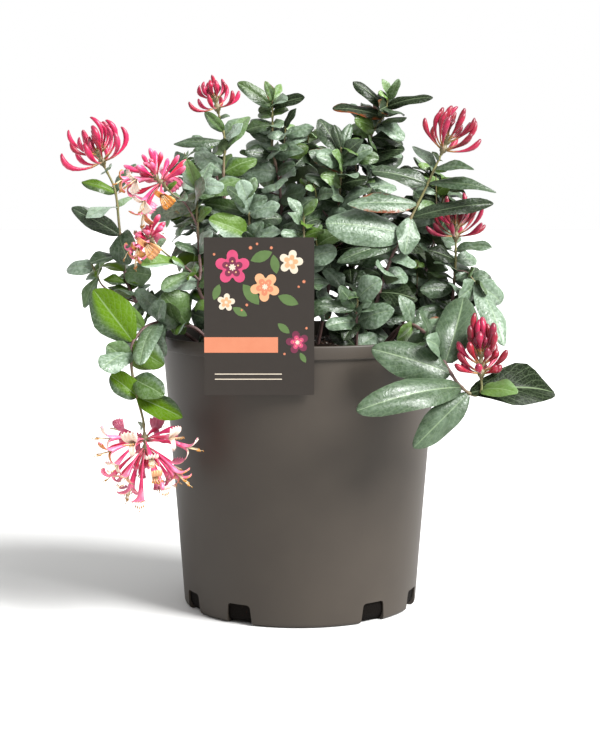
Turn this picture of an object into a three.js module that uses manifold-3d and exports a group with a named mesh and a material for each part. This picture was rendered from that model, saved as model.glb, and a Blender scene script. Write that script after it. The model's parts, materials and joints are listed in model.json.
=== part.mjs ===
// A honeysuckle vine in its nursery pot: pot, soil, plant label, leafy stems and blooms.
// Millimetres, +Z up, -Y is the front. Origin: the middle of the pot's underside.
import * as THREE from 'three';
import { mergeVertices } from 'three/addons/utils/BufferGeometryUtils.js';
import Module from 'manifold-3d';

const wasm = await Module();
wasm.setup();

// Driving dimensions

const pot = {
  height: 229, rimRadius: 117.5, baseRadius: 98.5, wall: 1.5, floor: 2,
  bandHeight: 10.7, bandStep: 2.6, rimThickness: 2.8, cornerHeight: 6, cornerInset: 4, sides: 36,
  notchAngles: [-63.5, -30, 37, 70.5], notchInner: 88.3, notchHeight: 17, notchFoot: 24, notchHead: 21,
};
const soil = { top: 215, mound: 4, bumps: 1.6, gap: 0.35, ringRadii: [0.3, 0.62, 0.88], holeGap: 0.5 };
const label = {
  width: 85, height: 122, left: -74, bottom: 191.5, front: -118.9, thickness: 0.9,
  stakeLeft: -36, stakeWidth: 12, stakeFront: -101.5, stakeThickness: 1.2, stakeFoot: 178, overRim: 0.35,
};
const blade = {
  thickness: 0.7, sections: [0.22, 0.52, 0.84], smallSections: [0.25, 0.75], smallLength: 42,
  smallNode: 25,
  root: 1.9, smallRoot: 1.3, sunk: 0.6, leastCrossing: 0.0001,
};
const leafRule = {
  lift: 58, liftSpread: 40, azimuthSpread: 50, fold: 0.22, wave: 0.16, faceUp: 0.25, faceLight: 1,
  roll: 1.1, widthShare: 0.5, widthSpread: 0.12, leastArch: 26, archSpread: 50,
};
const spacing = {
  leaves: 0.075, ownLeaves: 0.045, stem: 2.6, ownStem: [0.6, 1.4], bloom: 4.6, pot: 4, rimTop: 233,
  soilTop: 221, floor: 4,
};
const lightCentre = new THREE.Vector3(0, 60, 0);
const viewer = new THREE.Vector3(0, -1, 0);
const upwards = new THREE.Vector3(0, 0, 1);

// Each stem: its route from its foot in the soil, the radius to its corners at foot and tip, and its leaf
// nodes. A node is [place along the route in points, leaf, leaf, ...], where a leaf is either the length of
// one set by the stem's own rule, or [x, y, z, width], the tip and width of one that has a known place.
const stems = [
  {
    name: 'stem_far_left', foot: 2.1, tip: 1.1, flowers: true,
    route: [[-60, -14, 203], [-116, -25, 246], [-134, -24, 256], [-143, -20, 273], [-147, -16, 295],
      [-150, -12, 320], [-153, -12, 348], [-161, -14, 367]],
    nodes: [[0.72, 31, 29], [1.5, 26, 24], [2.35, [-149, -48, 268, 16], 24], [2.95, [-162, -28, 275, 9]],
      [3.4, [-122, -30, 279, 19]], [3.95, [-171, -32, 289, 15]],
      [4.68, [-188, -22, 334, 17], [-138, -27, 289, 21]], [5.5, [-174, -22, 326, 13], 17],
      [5.93, [-180, -17, 355, 13], [-136, -5, 370, 13]], [6.8, 12, 12]],
    branches: [{
      from: 2, foot: 1.1, tip: 0.8, route: [[-147, -30, 261], [-161, -34, 270], [-166, -35, 279],
        [-170, -35, 288]],
      nodes: [[2.9, [-176, -42, 253, 11]], [3.7, [-176, -48, 306, 10]]],
    }],
  },
  {
    name: 'stem_left_droop', foot: 2.1, tip: 1.1, flowers: true,
    route: [[-55, -50, 203], [-82, -58, 236], [-105, -62, 243], [-122, -76, 241], [-133, -86, 227],
      [-133, -92, 209], [-129, -96, 189], [-124, -98, 170], [-123, -98, 159]],
    nodes: [[1.35, [-110, -70, 267, 30]], [1.95, [-134, -44, 268, 13], 24], [2.45, [-124, -112, 215, 18]],
      [3.85, [-165, -69, 270, 29]], [4.7, [-152, -88, 228, 17]],
      [5.4, [-106, -110, 190, 19]], [6.1, [-155, -104, 208, 16], [-92, -106, 172, 17]], [7.4, 12, 12]],
    branches: [],
  },
  {
    name: 'stem_left_inner', foot: 2.1, tip: 0.9,
    route: [[-40, -28, 203], [-78, -60, 261], [-80, -58, 285], [-82, -55, 313], [-83, -52, 337],
      [-82, -50, 354]],
    nodes: [[0.6, 31, 31], [1.4, 29, 31], [2.5, 29, 29], [3.45, 24, 26], [3.95, [-122, -48, 326, 13]],
      [4.3, [-47, -54, 357, 15]], [4.72, [-90, -55, 373, 12], [-72, -47, 371, 12]]],
    branches: [{
      name: 'left_upper_shoot', from: 3.25, foot: 1.1, tip: 0.9, flowers: true,
      route: [[-91, -58, 337], [-101, -60, 345], [-107, -62, 351]],
      nodes: [[1.5, 16, 16], [2.7, 10, 10]],
    }, {
      name: 'left_lower_shoot', from: 1.6, foot: 1.1, tip: 0.9, flowers: true,
      route: [[-91, -64, 287], [-105, -68, 297], [-116, -70, 307]],
      nodes: [[0.6, [-110, -68, 270, 12]], [1.1, [-125, -72, 290, 13], [-102, -70, 295, 9]],
        [1.75, [-88, -76, 306, 9]], [2.65, 10, 10]],
    }],
  },
  {
    name: 'stem_top_left', foot: 2.1, tip: 1, flowers: true,
    route: [[-30, 10, 203], [-57, -12, 282], [-61, -12, 320], [-63, -12, 348], [-63, -10, 371],
      [-62, -10, 389], [-67, -12, 411]],
    nodes: [[0.5, 34, 34], [0.95, 36, 34], [1.5, 36, 36], [2.2, 34, 36], [2.9, 31, 34], [3.6, 34, 31],
      [4.5, [-42, 4, 409, 17], 26], [4.95, [-104, -16, 386, 10], [-47, -14, 403, 9]],
      [5.35, [-78, -14, 412, 9]], [5.85, 10, 10]],
    branches: [{
      from: 2.65, foot: 1, tip: 0.8,
      route: [[-69, 10, 357], [-74, 20, 372], [-78, 24, 385]],
      nodes: [[1.2, 29, 29], [2.1, 24, 24], [2.75, 14, 14]],
    }],
  },
  {
    name: 'stem_tall', foot: 2.1, tip: 0.8,
    route: [[-12, 22, 203], [-14, 18, 281], [-15, 16, 323], [-18, 15, 357], [-23, 12, 382], [-23, 10, 404],
      [-23, 10, 425]],
    nodes: [[0.6, 36, 36], [1.1, 38, 36], [1.8, 38, 41], [2.5, 36, 36], [3.2, 34, 36],
      [3.8, [-46, 2, 380, 14], [3, 7, 380, 14]], [4.35, 26, 29], [4.9, [-46, 2, 398, 13], 24],
      [5.62, [-52, 5, 437, 15], [4, 4, 425, 12]], [5.85, [-29, 6, 438, 7], [-16, 12, 437, 7]]],
    branches: [{
      from: 2.9, foot: 1, tip: 0.7, route: [[-14, 12, 369], [-13, 10, 389], [-12, 8, 403]],
      nodes: [[1.4, 24, 24], [2.3, [12, 5, 400, 13], 16], [2.75, [-3, 4, 416, 9]]],
    }],
  },
  {
    name: 'stem_centre', foot: 2, tip: 0.8,
    route: [[-8, -35, 203], [-36, -50, 276], [-40, -52, 309], [-41, -52, 329], [-42, -50, 347]],
    nodes: [[0.55, 34, 34], [1.1, 31, 34], [1.6, 24, 26], [2.1, [-73, -66, 326, 19]],
      [3.05, [-77, -52, 338, 12], [-16, -60, 337, 14]], [3.35, [-58, -58, 351, 12]],
      [3.8, [-49, -52, 359, 8], [-36, -47, 359, 8]]],
    branches: [],
  },
  {
    name: 'stem_centre_front', foot: 1.8, tip: 0.7,
    route: [[6, -58, 203], [3, -62, 262], [3, -62, 296], [3, -60, 321], [3, -59, 332]],
    nodes: [[0.7, 31, 31], [1.3, 31, 31], [1.9, 29, 29], [2.55, 24, 26], [2.98, [-10, -64, 331, 9], 18],
      [3.6, [-10, -61, 343, 8], [14, -56, 342, 8]]],
    branches: [],
  },
  {
    name: 'stem_centre_right', foot: 2.1, tip: 0.8,
    route: [[12, 0, 203], [25, -5, 274], [28, -6, 307], [32, -8, 336], [34, -10, 363], [34, -10, 385]],
    nodes: [[0.5, 36, 36], [1, 38, 36], [1.6, 36, 38], [2.3, 36, 36], [3, 34, 34],
      [3.6, [56, -18, 357, 15], [4, -20, 360, 15]], [4.05, [7, -16, 380, 15]],
      [4.5, [16, -6, 407, 17], [52, -16, 390, 13]], [4.85, [28, -18, 402, 8], [42, -8, 403, 8]]],
    branches: [],
  },
  {
    name: 'stem_top_right', foot: 2.1, tip: 0.8,
    route: [[35, 15, 203], [44, 24, 272], [51, 24, 323], [58, 22, 365], [60, 20, 393], [70, 15, 410],
      [74, 12, 426]],
    nodes: [[0.5, 36, 36], [1, 38, 38], [1.5, 38, 38], [2.05, 38, 36], [2.6, 36, 36], [3.1, 34, 34],
      [3.6, [35, 12, 388, 14], 31], [4.3, [39, 26, 419, 13], [88, 8, 408, 11]], [4.95, [27, 9, 416, 14]],
      [5.45, [44, 9, 438, 15], [111, 9, 425, 15]], [5.85, [68, 7, 440, 8], [82, 18, 440, 8]]],
    branches: [],
  },
  {
    name: 'stem_right_bloom', foot: 2.1, tip: 1.1, flowers: true,
    route: [[40, -30, 203], [58, -62, 247], [65, -62, 272], [76, -60, 301], [89, -58, 327], [102, -55, 353],
      [113, -52, 377]],
    nodes: [[0.7, 31, 34], [1.4, 34, 31], [2.2, 31, 31], [2.8, [92, -72, 288, 12], 29],
      [3.2, [29, -78, 292, 14], 31], [3.5, [20, -67, 323, 27]],
      [4, [83, -72, 298, 17], [156, -50, 338, 15]], [4.4, [37, -66, 338, 18]],
      [5.03, [57, -62, 364, 17], [156, -68, 347, 16]], [5.5, [138, -62, 365, 12], [92, -30, 384, 13]],
      [5.85, 11, 11]],
    branches: [],
  },
  {
    name: 'stem_right_mid', foot: 2.1, tip: 1.1, flowers: true,
    route: [[60, -12, 203], [108, -18, 237], [124, -22, 251], [127, -24, 271], [128, -26, 290],
      [128, -26, 306]],
    nodes: [[0.9, 34, 31], [1.5, 29, 29], [2, [95, -34, 245, 14], 31], [2.9, [98, -34, 267, 14]],
      [3.5, [152, -38, 257, 14], 31], [4.05, [104, -34, 300, 14], 26],
      [4.55, [157, -34, 302, 11]]],
    branches: [{
      from: 3.6, foot: 1, tip: 0.8, route: [[137, -34, 281], [146, -42, 269]],
      nodes: [[1.1, 18, 16], [1.7, [163, -57, 225, 21], 20]],
    }],
  },
  {
    name: 'stem_right_front', foot: 2.1, tip: 1.1, flowers: true,
    route: [[52, -52, 203], [82, -72, 241], [102, -100, 234], [113, -116, 215], [123, -122, 200],
      [134, -124, 192], [140, -124, 195], [140, -123, 204]],
    nodes: [[1.3, 30, 28], [1.95, [92, -116, 256, 18], 26],
      [2.95, [130, -92, 264, 26], [154, -78, 252, 22]], [3.4, [55, -124, 228, 26]],
      [4.2, [42, -146, 186, 24]], [4.65, [87, -138, 153, 20], [201, -102, 190, 30]],
      [6.15, [170, -96, 216, 14], [166, -142, 196, 17]]],
    branches: [],
  },
  {
    name: 'stem_front_short', foot: 1.8, tip: 0.8,
    route: [[44, -82, 203], [45, -84, 237], [45, -86, 257], [46, -86, 268]],
    nodes: [[0.6, 29, 29], [1.3, [74, -99, 256, 20], [20, -100, 243, 14]],
      [1.95, [13, -96, 259, 10], [30, -98, 274, 13]], [2.6, [64, -96, 279, 18], 14]],
    branches: [],
  },
  {
    name: 'stem_back_left', foot: 2.1, tip: 0.9,
    route: [[-38, 48, 203], [-72, 76, 262], [-88, 84, 312], [-96, 84, 352], [-101, 80, 378]],
    nodes: [[0.6, 38, 38], [1.1, 41, 41], [1.6, 41, 38], [2.1, 38, 38], [2.6, 36, 34], [3.1, 34, 31],
      [3.55, 26, 26], [3.85, 14, 14]],
    branches: [],
  },
  {
    name: 'stem_back_centre', foot: 2.1, tip: 0.9,
    route: [[-4, 58, 203], [-8, 84, 268], [-4, 92, 322], [4, 90, 368], [8, 86, 398]],
    nodes: [[0.5, 38, 38], [0.95, 41, 41], [1.4, 41, 41], [1.85, 41, 38], [2.3, 38, 38], [2.75, 36, 36],
      [3.2, 31, 31], [3.6, 26, 24], [3.88, 13, 13]],
    branches: [],
  },
  {
    name: 'stem_back_right', foot: 2.1, tip: 0.9,
    route: [[40, 50, 203], [76, 76, 258], [98, 80, 304], [110, 76, 344], [116, 70, 370]],
    nodes: [[0.6, 38, 38], [1.1, 41, 41], [1.6, 41, 38], [2.1, 38, 38], [2.6, 36, 34], [3.1, 31, 31],
      [3.55, 26, 26], [3.85, 14, 14]],
    branches: [],
  },
  {
    name: 'stem_right_inner', foot: 2, tip: 0.9,
    route: [[66, 22, 203], [98, 30, 252], [112, 32, 296], [120, 28, 334], [126, 24, 356]],
    nodes: [[0.6, 36, 36], [1.1, 38, 36], [1.65, 36, 36], [2.2, 36, 34], [2.75, 31, 31], [3.3, 26, 26],
      [3.8, 14, 14]],
    branches: [],
  },
];

const colours = {
  pink: '#c9305c', green: '#44613f', soil: '#35261b', pot: '#5f554c',
  label: '#4a4541',
};

// Each bloom: the flowering shoot it ends, its whorls and the look of its florets. A whorl is
// [florets, angle from the spike at the root, angle at the end, length, open].
const blooms = [
  { name: 'bloom_far_left', on: 'stem_far_left', whorls: [[6, 98, 22, 39, 0], [6, 74, 14, 32, 0]] },
  { name: 'bloom_left_droop', on: 'stem_left_droop', whorls: [[6, 108, 86, 31, 1], [6, 56, 40, 34, 1]] },
  { name: 'bloom_left_upper', on: 'left_upper_shoot', whorls: [[6, 92, 108, 27, 1], [6, 52, 66, 24, 1]] },
  { name: 'bloom_left_lower', on: 'left_lower_shoot', whorls: [[6, 84, 104, 17, 1]] },
  { name: 'bloom_top_left', on: 'stem_top_left', whorls: [[6, 100, 30, 27, 0], [6, 66, 20, 19, 0]] },
  { name: 'bloom_right_upper', on: 'stem_right_bloom', whorls: [[6, 76, 26, 34, 0], [6, 44, 12, 33, 0]] },
  { name: 'bloom_right_mid', on: 'stem_right_mid', whorls: [[6, 92, 46, 30, 0], [6, 60, 20, 26, 0]] },
  {
    name: 'bloom_right_front', on: 'stem_right_front',
    whorls: [[6, 84, 52, 24, 0], [6, 60, 22, 27, 0], [6, 32, 8, 30, 0]],
  },
];
const budForm = { rings: [[0.16, 1], [0.5, 1.6], [0.82, 2.8], [1, 1.7]], flatness: 1 };
const trumpetForm = {
  rings: [[0.16, 1.2], [0.5, 1.9], [0.82, 2.6], [1, 3.3]], flatness: 0.85, lipLength: 14, lipWidth: 10,
};
const hubForm = { foot: 2.1, radius: 3.4, whorlHeight: 4.2, spacer: 3.4, tip: 6, gap: 0.4 };

// Small helpers

const radians = THREE.MathUtils.degToRad;
const vec = (x, y, z) => new THREE.Vector3(x, y, z);

function seeded(seed) {
  let state = seed;
  return () => {
    state = (state * 48271) % 2147483647;
    return state / 2147483647;
  };
}

function plus(point, ...steps) {
  const moved = point.clone();
  for (const [direction, amount] of steps) moved.addScaledVector(direction, amount);
  return moved;
}

function acrossTo(direction, axis) {
  return plus(direction, [axis, -direction.dot(axis)]).normalize();
}

// Routes along stems

function readStem(data, parent = null) {
  const points = data.route.map(p => vec(...p));
  if (parent) points.unshift(parent.curve.getPoint(data.from / parent.last));
  const curve = new THREE.CatmullRomCurve3(points, false, 'catmullrom', 0.5);
  return { ...data, curve, last: points.length - 1 };
}

function frameAt(stem, at) {
  const t = at / stem.last;
  const step = 0.02 / stem.last;
  const ahead = stem.curve.getPoint(Math.min(1, t + step));
  const tangent = ahead.sub(stem.curve.getPoint(Math.max(0, t - step))).normalize();
  const front = acrossTo(viewer, tangent);
  const side = tangent.clone().cross(front);
  return { point: stem.curve.getPoint(t), tangent, front, side };
}

const radiusAt = (stem, at) => stem.foot + (stem.tip - stem.foot) * at / stem.last;

function around(frame, degrees) {
  const angle = radians(degrees);
  return plus(vec(0, 0, 0), [frame.side, Math.cos(angle)], [frame.front, Math.sin(angle)]);
}

// Leaves

function outline(u) {
  return Math.pow(Math.max(0, Math.sin(Math.PI * Math.pow(u, 0.95))), 0.6);
}

function leafSpot(leaf, u) {
  const bend = leaf.arch * u;
  const radius = leaf.length / leaf.arch;
  const centre = plus(leaf.base, [leaf.forward, radius * Math.sin(bend)],
    [leaf.up, -radius * (1 - Math.cos(bend))]);
  const up = plus(vec(0, 0, 0), [leaf.up, Math.cos(bend)], [leaf.forward, Math.sin(bend)]);
  return { centre, up, half: leaf.width / 2 * outline(u) };
}

function leafPoint(leaf, u, v) {
  const { centre, up, half } = leafSpot(leaf, u);
  const ripple = leaf.wave * v * v * Math.sin(8 * u + leaf.phase + 1.2 * v);
  return plus(centre, [leaf.across, v * half], [up, half * (leaf.fold * Math.abs(v) + ripple)]);
}

function lightAt(point) {
  const out = vec(0.5 * (point.x - lightCentre.x), point.y - lightCentre.y, 0).normalize();
  return vec(0.85 * out.x, 0.85 * out.y, 0.42);
}

function leafForm(base, forward, hint, length, width, arch, traits) {
  const up = acrossTo(hint, forward);
  return {
    base, forward, up, across: up.clone().cross(forward), length, width, arch,
    fold: leafRule.fold * (0.5 + traits[3]), wave: leafRule.wave * (0.4 + 1.2 * traits[4]),
    phase: 6.28 * traits[2],
  };
}

const ruleTries = [[0, 0], [18, 0], [-18, 0], [0, 16], [34, 6], [-34, 6], [0, -14], [50, 12], [-50, 12]];
const placedTries = [0, -8, 8, -16, 16, -24, 24];
const shrinks = [1, 0.8, 0.62];

function ruleLeaf(frame, azimuth, length, traits, turn, tilt, shrink) {
  const lift = radians(leafRule.lift + leafRule.liftSpread * (traits[1] - 0.5) + tilt);
  const out = around(frame, azimuth + turn);
  const forward = plus(vec(0, 0, 0), [frame.tangent, Math.cos(lift)], [out, Math.sin(lift)]);
  const natural = plus(vec(0, 0, 0), [frame.tangent, Math.sin(lift)], [out, -Math.cos(lift)]);
  const hint = plus(vec(0, 0, 0), [natural, leafRule.faceUp], [lightAt(frame.point), leafRule.faceLight],
    [forward.clone().cross(natural), leafRule.roll * (traits[2] - 0.5)]);
  const size = length * shrink;
  const width = size * (leafRule.widthShare + leafRule.widthSpread * traits[0]);
  const arch = radians(leafRule.leastArch + leafRule.archSpread * traits[3]);
  return leafForm(frame.point, forward, hint, size, width, arch, traits);
}

function placedLeaf(frame, [x, y, z, width], traits, depth, shrink) {
  const chord = plus(vec(x, y + depth, z), [frame.point, -1]).multiplyScalar(shrink);
  const reach = chord.length();
  chord.normalize();
  const arch = radians(18 + 36 * traits[3]);
  const hint = plus(lightAt(frame.point), [frame.side, 0.5 * (traits[2] - 0.5)], [upwards, 0.15]);
  const normal = acrossTo(hint, chord);
  const forward = plus(vec(0, 0, 0), [chord, Math.cos(arch / 2)], [normal, Math.sin(arch / 2)]);
  const length = reach * (arch / 2) / Math.sin(arch / 2);
  return leafForm(frame.point, forward, normal, length, width * shrink, arch, traits);
}

// Room for each leaf: a leaf is known by a net of points on it, which keep clear of everything else.

const netRows = [0.22, 0.35, 0.48, 0.61, 0.74, 0.87, 0.99];
const netColumns = [-0.92, -0.46, 0, 0.46, 0.92];

function netOf(leaf) {
  return netRows.map(u => netColumns.map(v => leafPoint(leaf, u, v)));
}

const room = { stemPoints: [], bloomPoints: [], leaves: [] };

function inTheWay({ x, y, z }) {
  const radius = Math.hypot(x, y);
  const wall = pot.baseRadius + (pot.rimRadius - pot.baseRadius) * z / pot.height + spacing.pot;
  if (z < spacing.floor) return true;
  if (z < spacing.soilTop && radius < wall) return true;
  if (z < spacing.rimTop && radius > pot.rimRadius - 8 && radius < pot.rimRadius + spacing.pot) return true;
  return x > label.left - 3 && x < label.left + label.width + 3 && y > label.front - 5
    && y < label.stakeFront + 4 && z > label.bottom - 5 && z < label.bottom + label.height + 5;
}

const isNear = (points, place, limit) => points.some(point => point.distanceTo(place) < limit);

function hasRoom(leaf, net, shoot, node) {
  const centre = leafPoint(leaf, 0.55, 0);
  const reach = 0.55 * leaf.length + 2;
  if (net.flat().some(inTheWay)) return false;
  for (const other of room.stemPoints) {
    if (other.point.distanceTo(centre) > reach + 8) continue;
    const own = other.shoot === shoot;
    for (const [index, row] of net.entries()) {
      const gap = own ? spacing.ownStem[Math.min(index, 1)] : spacing.stem;
      if (isNear(row, other.point, other.radius + gap)) return false;
    }
  }
  for (const other of room.bloomPoints) {
    if (other.distanceTo(centre) > reach + 8) continue;
    if (isNear(net.slice(1).flat(), other, spacing.bloom)) return false;
  }
  for (const other of room.leaves) {
    if (other.centre.distanceTo(centre) > reach + other.reach + 8) continue;
    const share = other.shoot === shoot ? spacing.ownLeaves : spacing.leaves;
    const limit = share * (leaf.length + other.length);
    const from = other.node === node ? 2 : 0;
    const points = net.slice(from).flat();
    if (other.net.slice(from).flat().some(far => isNear(points, far, limit))) return false;
  }
  return true;
}

// The first of the tries that has room is the leaf; with none, the node goes without it.
function settle(tries, { shoot, node }) {
  for (const leaf of tries) {
    const net = netOf(leaf);
    if (hasRoom(leaf, net, shoot, node)) {
      const centre = leafPoint(leaf, 0.55, 0);
      room.leaves.push({ net, shoot, node, length: leaf.length, centre, reach: 0.55 * leaf.length + 2 });
      node.leaves.push(leaf);
      return;
    }
  }
}

function azimuthOf(frame, direction) {
  return THREE.MathUtils.radToDeg(Math.atan2(direction.dot(frame.front), direction.dot(frame.side)));
}

// Leaves with a known place are settled first, over the whole vine, and then the others in their turn.
function layOut(shoots) {
  const draw = seeded(20711);
  const jobs = [];
  shoots.forEach((shoot, shootIndex) => {
    shoot.grown = [];
    shoot.nodes.forEach(([at, ...leaves], nodeIndex) => {
      const frame = frameAt(shoot, at);
      const known = leaves.find(Array.isArray);
      const start = known
        ? azimuthOf(frame, plus(vec(...known), [frame.point, -1]))
        : 90 * (nodeIndex % 2) + leafRule.azimuthSpread * (draw() - 0.5) + 20 * shootIndex;
      const node = { at, frame, start, leaves: [] };
      shoot.grown.push(node);
      leaves.forEach((leaf, index) => {
        const traits = [draw(), draw(), draw(), draw(), draw()];
        const azimuth = start + 180 * index;
        jobs.push({ leaf, node, shoot, traits, azimuth });
      });
    });
  });
  for (const job of jobs.filter(({ leaf }) => Array.isArray(leaf))) {
    const tries = shrinks.slice(0, 2).flatMap(shrink => placedTries.map(depth =>
      placedLeaf(job.node.frame, job.leaf, job.traits, depth, shrink)));
    settle(tries, job);
  }
  for (const job of jobs.filter(({ leaf }) => !Array.isArray(leaf))) {
    const tries = shrinks.flatMap(shrink => ruleTries.map(([turn, tilt]) =>
      ruleLeaf(job.node.frame, job.azimuth, job.leaf, job.traits, turn, tilt, shrink)));
    settle(tries, job);
  }
}

// Growing meshes: rings of vertices joined by faces, each side face either plain or the root of a leaf.

class Growth {
  constructor() {
    this.points = [];
    this.faces = [];
  }

  ring(points) {
    return points.map(point => this.points.push(point) - 1);
  }

  face(first, ...others) {
    for (let i = 1; i < others.length; i += 1) this.faces.push([first, others[i - 1], others[i]]);
  }

  band(near, far, skip = []) {
    const count = near.length;
    for (let i = 0; i < count; i += 1) {
      const j = (i + 1) % count;
      if (!skip.includes(i)) this.face(near[i], near[j], far[j], far[i]);
    }
  }

  // Turns a root's corners so that they lie nearest the ring they are joined to.
  matched(root, ring) {
    const cost = turn => root.reduce((sum, _, i) =>
      sum + this.points[root[(i + turn) % 4]].distanceToSquared(this.points[ring[i]]), 0);
    const best = [0, 1, 2, 3].reduce((a, b) => (cost(b) < cost(a) ? b : a));
    return root.map((_, i) => root[(i + best) % 4]);
  }

  bladeRing(leaf, u) {
    const { up } = leafSpot(leaf, u);
    const half = blade.thickness / 2;
    const [right, middle, left] = [1, 0, -1].map(v => leafPoint(leaf, u, v));
    return this.ring([plus(right, [up, half]), plus(middle, [up, half]), plus(left, [up, half]),
      plus(left, [up, -half]), plus(middle, [up, -half]), plus(right, [up, -half])]);
  }

  leaf(root, leaf) {
    const sections = leaf.length < blade.smallLength ? blade.smallSections : blade.sections;
    const rings = sections.map(u => this.bladeRing(leaf, u));
    const [rt, mt, lt, lb, mb, rb] = rings[0];
    const [a, b, c, d] = this.matched(root, [rt, lt, lb, rb]);
    this.faces.push([a, mt, rt], [a, b, mt], [b, lt, mt], [b, c, lb], [b, lb, lt], [c, mb, lb], [c, d, mb],
      [d, rb, mb], [d, a, rt], [d, rt, rb]);
    for (let i = 1; i < rings.length; i += 1) this.bladeBand(rings[i - 1], rings[i]);
    this.bladeTip(rings[rings.length - 1], leaf);
  }

  // Both faces of the blade are split along the same lines, so that it keeps its thickness where it waves.
  bladeBand([rt, mt, lt, lb, mb, rb], [rt2, mt2, lt2, lb2, mb2, rb2]) {
    this.faces.push([rt, mt, mt2], [rt, mt2, rt2], [mt, lt, mt2], [lt, lt2, mt2], [lb, mb, mb2],
      [lb, mb2, lb2], [mb, rb, mb2], [rb, rb2, mb2]);
    this.face(lt, lb, lb2, lt2);
    this.face(rb, rt, rt2, rb2);
  }

  bladeTip([rt, mt, lt, lb, mb, rb], leaf) {
    const { centre, up } = leafSpot(leaf, 1);
    const half = blade.thickness / 2;
    const [top, base] = this.ring([plus(centre, [up, half]), plus(centre, [up, -half])]);
    this.faces.push([rt, mt, top], [mt, lt, top], [lt, lb, base], [lt, base, top], [lb, mb, base],
      [mb, rb, base], [rb, rt, top], [rb, top, base]);
  }

  solid() {
    const mesh = new wasm.Mesh({
      numProp: 3,
      vertProperties: new Float32Array(this.points.flatMap(p => p.toArray())),
      triVerts: new Uint32Array(this.faces.flat()),
    });
    return new wasm.Manifold(mesh);
  }
}

function stemRing(frame, radius, turn) {
  return [0, 1, 2, 3].map(k => plus(frame.point, [around(frame, turn + 45 - 90 * k), radius]));
}

const nearTurn = (angle, previous) => angle - 90 * Math.round((angle - previous) / 90);

// A stem's rings, from its foot to its tip: one at each bend or side shoot, and a pair at each leaf node.
function ringsOf(stem) {
  const levels = [{ at: 0, turn: 0, leaves: [] }];
  const nodes = stem.grown.filter(node => node.leaves.length);
  const joints = (stem.branches ?? []).map(branch => branch.from);
  const bends = [...joints, ...stem.route.keys()].sort((a, b) => a - b);
  let turn = 0;
  let done = 0;
  for (const node of [...nodes, null]) {
    const mark = node ? node.at : stem.last;
    for (const at of bends) {
      const margin = joints.includes(at) ? 0.12 : 0.3;
      const free = at > levels[levels.length - 1].at && at - done > margin && mark - at > margin;
      if (free) levels.push({ at, turn, leaves: [] });
    }
    done = mark;
    if (!node) break;
    const speed = stem.curve.getPoint((mark + 0.05) / stem.last).distanceTo(node.frame.point) / 0.05;
    const small = Math.max(...node.leaves.map(leaf => leaf.length)) < blade.smallNode;
    const rise = (small ? blade.smallRoot : blade.root) / speed;
    turn = nearTurn(azimuthOf(node.frame, node.leaves[0].forward), turn);
    const leaves = rootsOf(node, turn);
    levels.push({ at: mark - rise, turn, leaves: [] }, { at: mark + rise, turn, leaves });
  }
  return [...levels, { at: stem.last, turn, leaves: [] }];
}

// Each leaf of a node takes the free side of the stem that best fits its direction.
function rootsOf({ frame, leaves }, turn) {
  const taken = [];
  return leaves.map(leaf => {
    const azimuth = azimuthOf(frame, leaf.forward);
    const misfit = k =>
      Math.abs(THREE.MathUtils.euclideanModulo(azimuth - turn + 90 * k + 180, 360) - 180);
    const free = [0, 1, 2, 3].filter(k => !taken.includes(k)).sort((a, b) => misfit(a) - misfit(b));
    taken.push(free[0]);
    return { leaf, side: free[0] };
  });
}

function growStem(stem) {
  const levels = ringsOf(stem);
  const bare = growRings(stem, levels, () => false);
  const apart = new Set();
  const settled = [bare];
  for (const { low, high, leaves } of levelPairs(stem, levels)) {
    for (const { leaf, side } of leaves) {
      const solid = looseLeaf(leaf, sideOf(low, high, side));
      if (settled.some(other => solid.intersect(other).volume() > blade.leastCrossing)) apart.add(leaf);
      else settled.push(solid);
    }
  }
  let whole = growRings(stem, levels, leaf => !apart.has(leaf));
  for (const { low, high, middle, leaves } of levelPairs(stem, levels)) {
    for (const { leaf, side } of leaves.filter(root => apart.has(root.leaf))) {
      const root = sideOf(low, high, side).map(corner => corner.clone().lerp(middle, blade.sunk));
      whole = whole.add(looseLeaf(leaf, root));
    }
  }
  return whole;
}

// The rings' corners on either side of each leaf node, and the middle of the stem there.
function levelPairs(stem, levels) {
  return levels.slice(1).map((level, i) => ({
    low: stemRing(frameAt(stem, levels[i].at), radiusAt(stem, levels[i].at), levels[i].turn),
    high: stemRing(frameAt(stem, level.at), radiusAt(stem, level.at), level.turn),
    middle: stem.curve.getPoint((levels[i].at + level.at) / 2 / stem.last),
    leaves: level.leaves,
  }));
}

const sideOf = (low, high, k) => [low[k], low[(k + 1) % 4], high[(k + 1) % 4], high[k]];

function looseLeaf(leaf, root) {
  const growth = new Growth();
  const ring = growth.ring(root);
  growth.face(ring[0], ring[3], ring[2], ring[1]);
  growth.leaf(ring, leaf);
  return growth.solid();
}

function growRings(stem, levels, isGrown) {
  const growth = new Growth();
  let previous = null;
  for (const level of levels) {
    const ring = growth.ring(stemRing(frameAt(stem, level.at), radiusAt(stem, level.at), level.turn));
    if (previous) {
      const grown = level.leaves.filter(({ leaf }) => isGrown(leaf));
      for (const { leaf, side } of grown) growth.leaf(sideOf(previous, ring, side), leaf);
      growth.band(previous, ring, grown.map(({ side }) => side));
    } else {
      growth.face(...[...ring].reverse());
    }
    previous = ring;
  }
  if (stem.flowers) growth.face(...previous);
  else closeTip(growth, stem, previous);
  return growth.solid();
}

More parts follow.
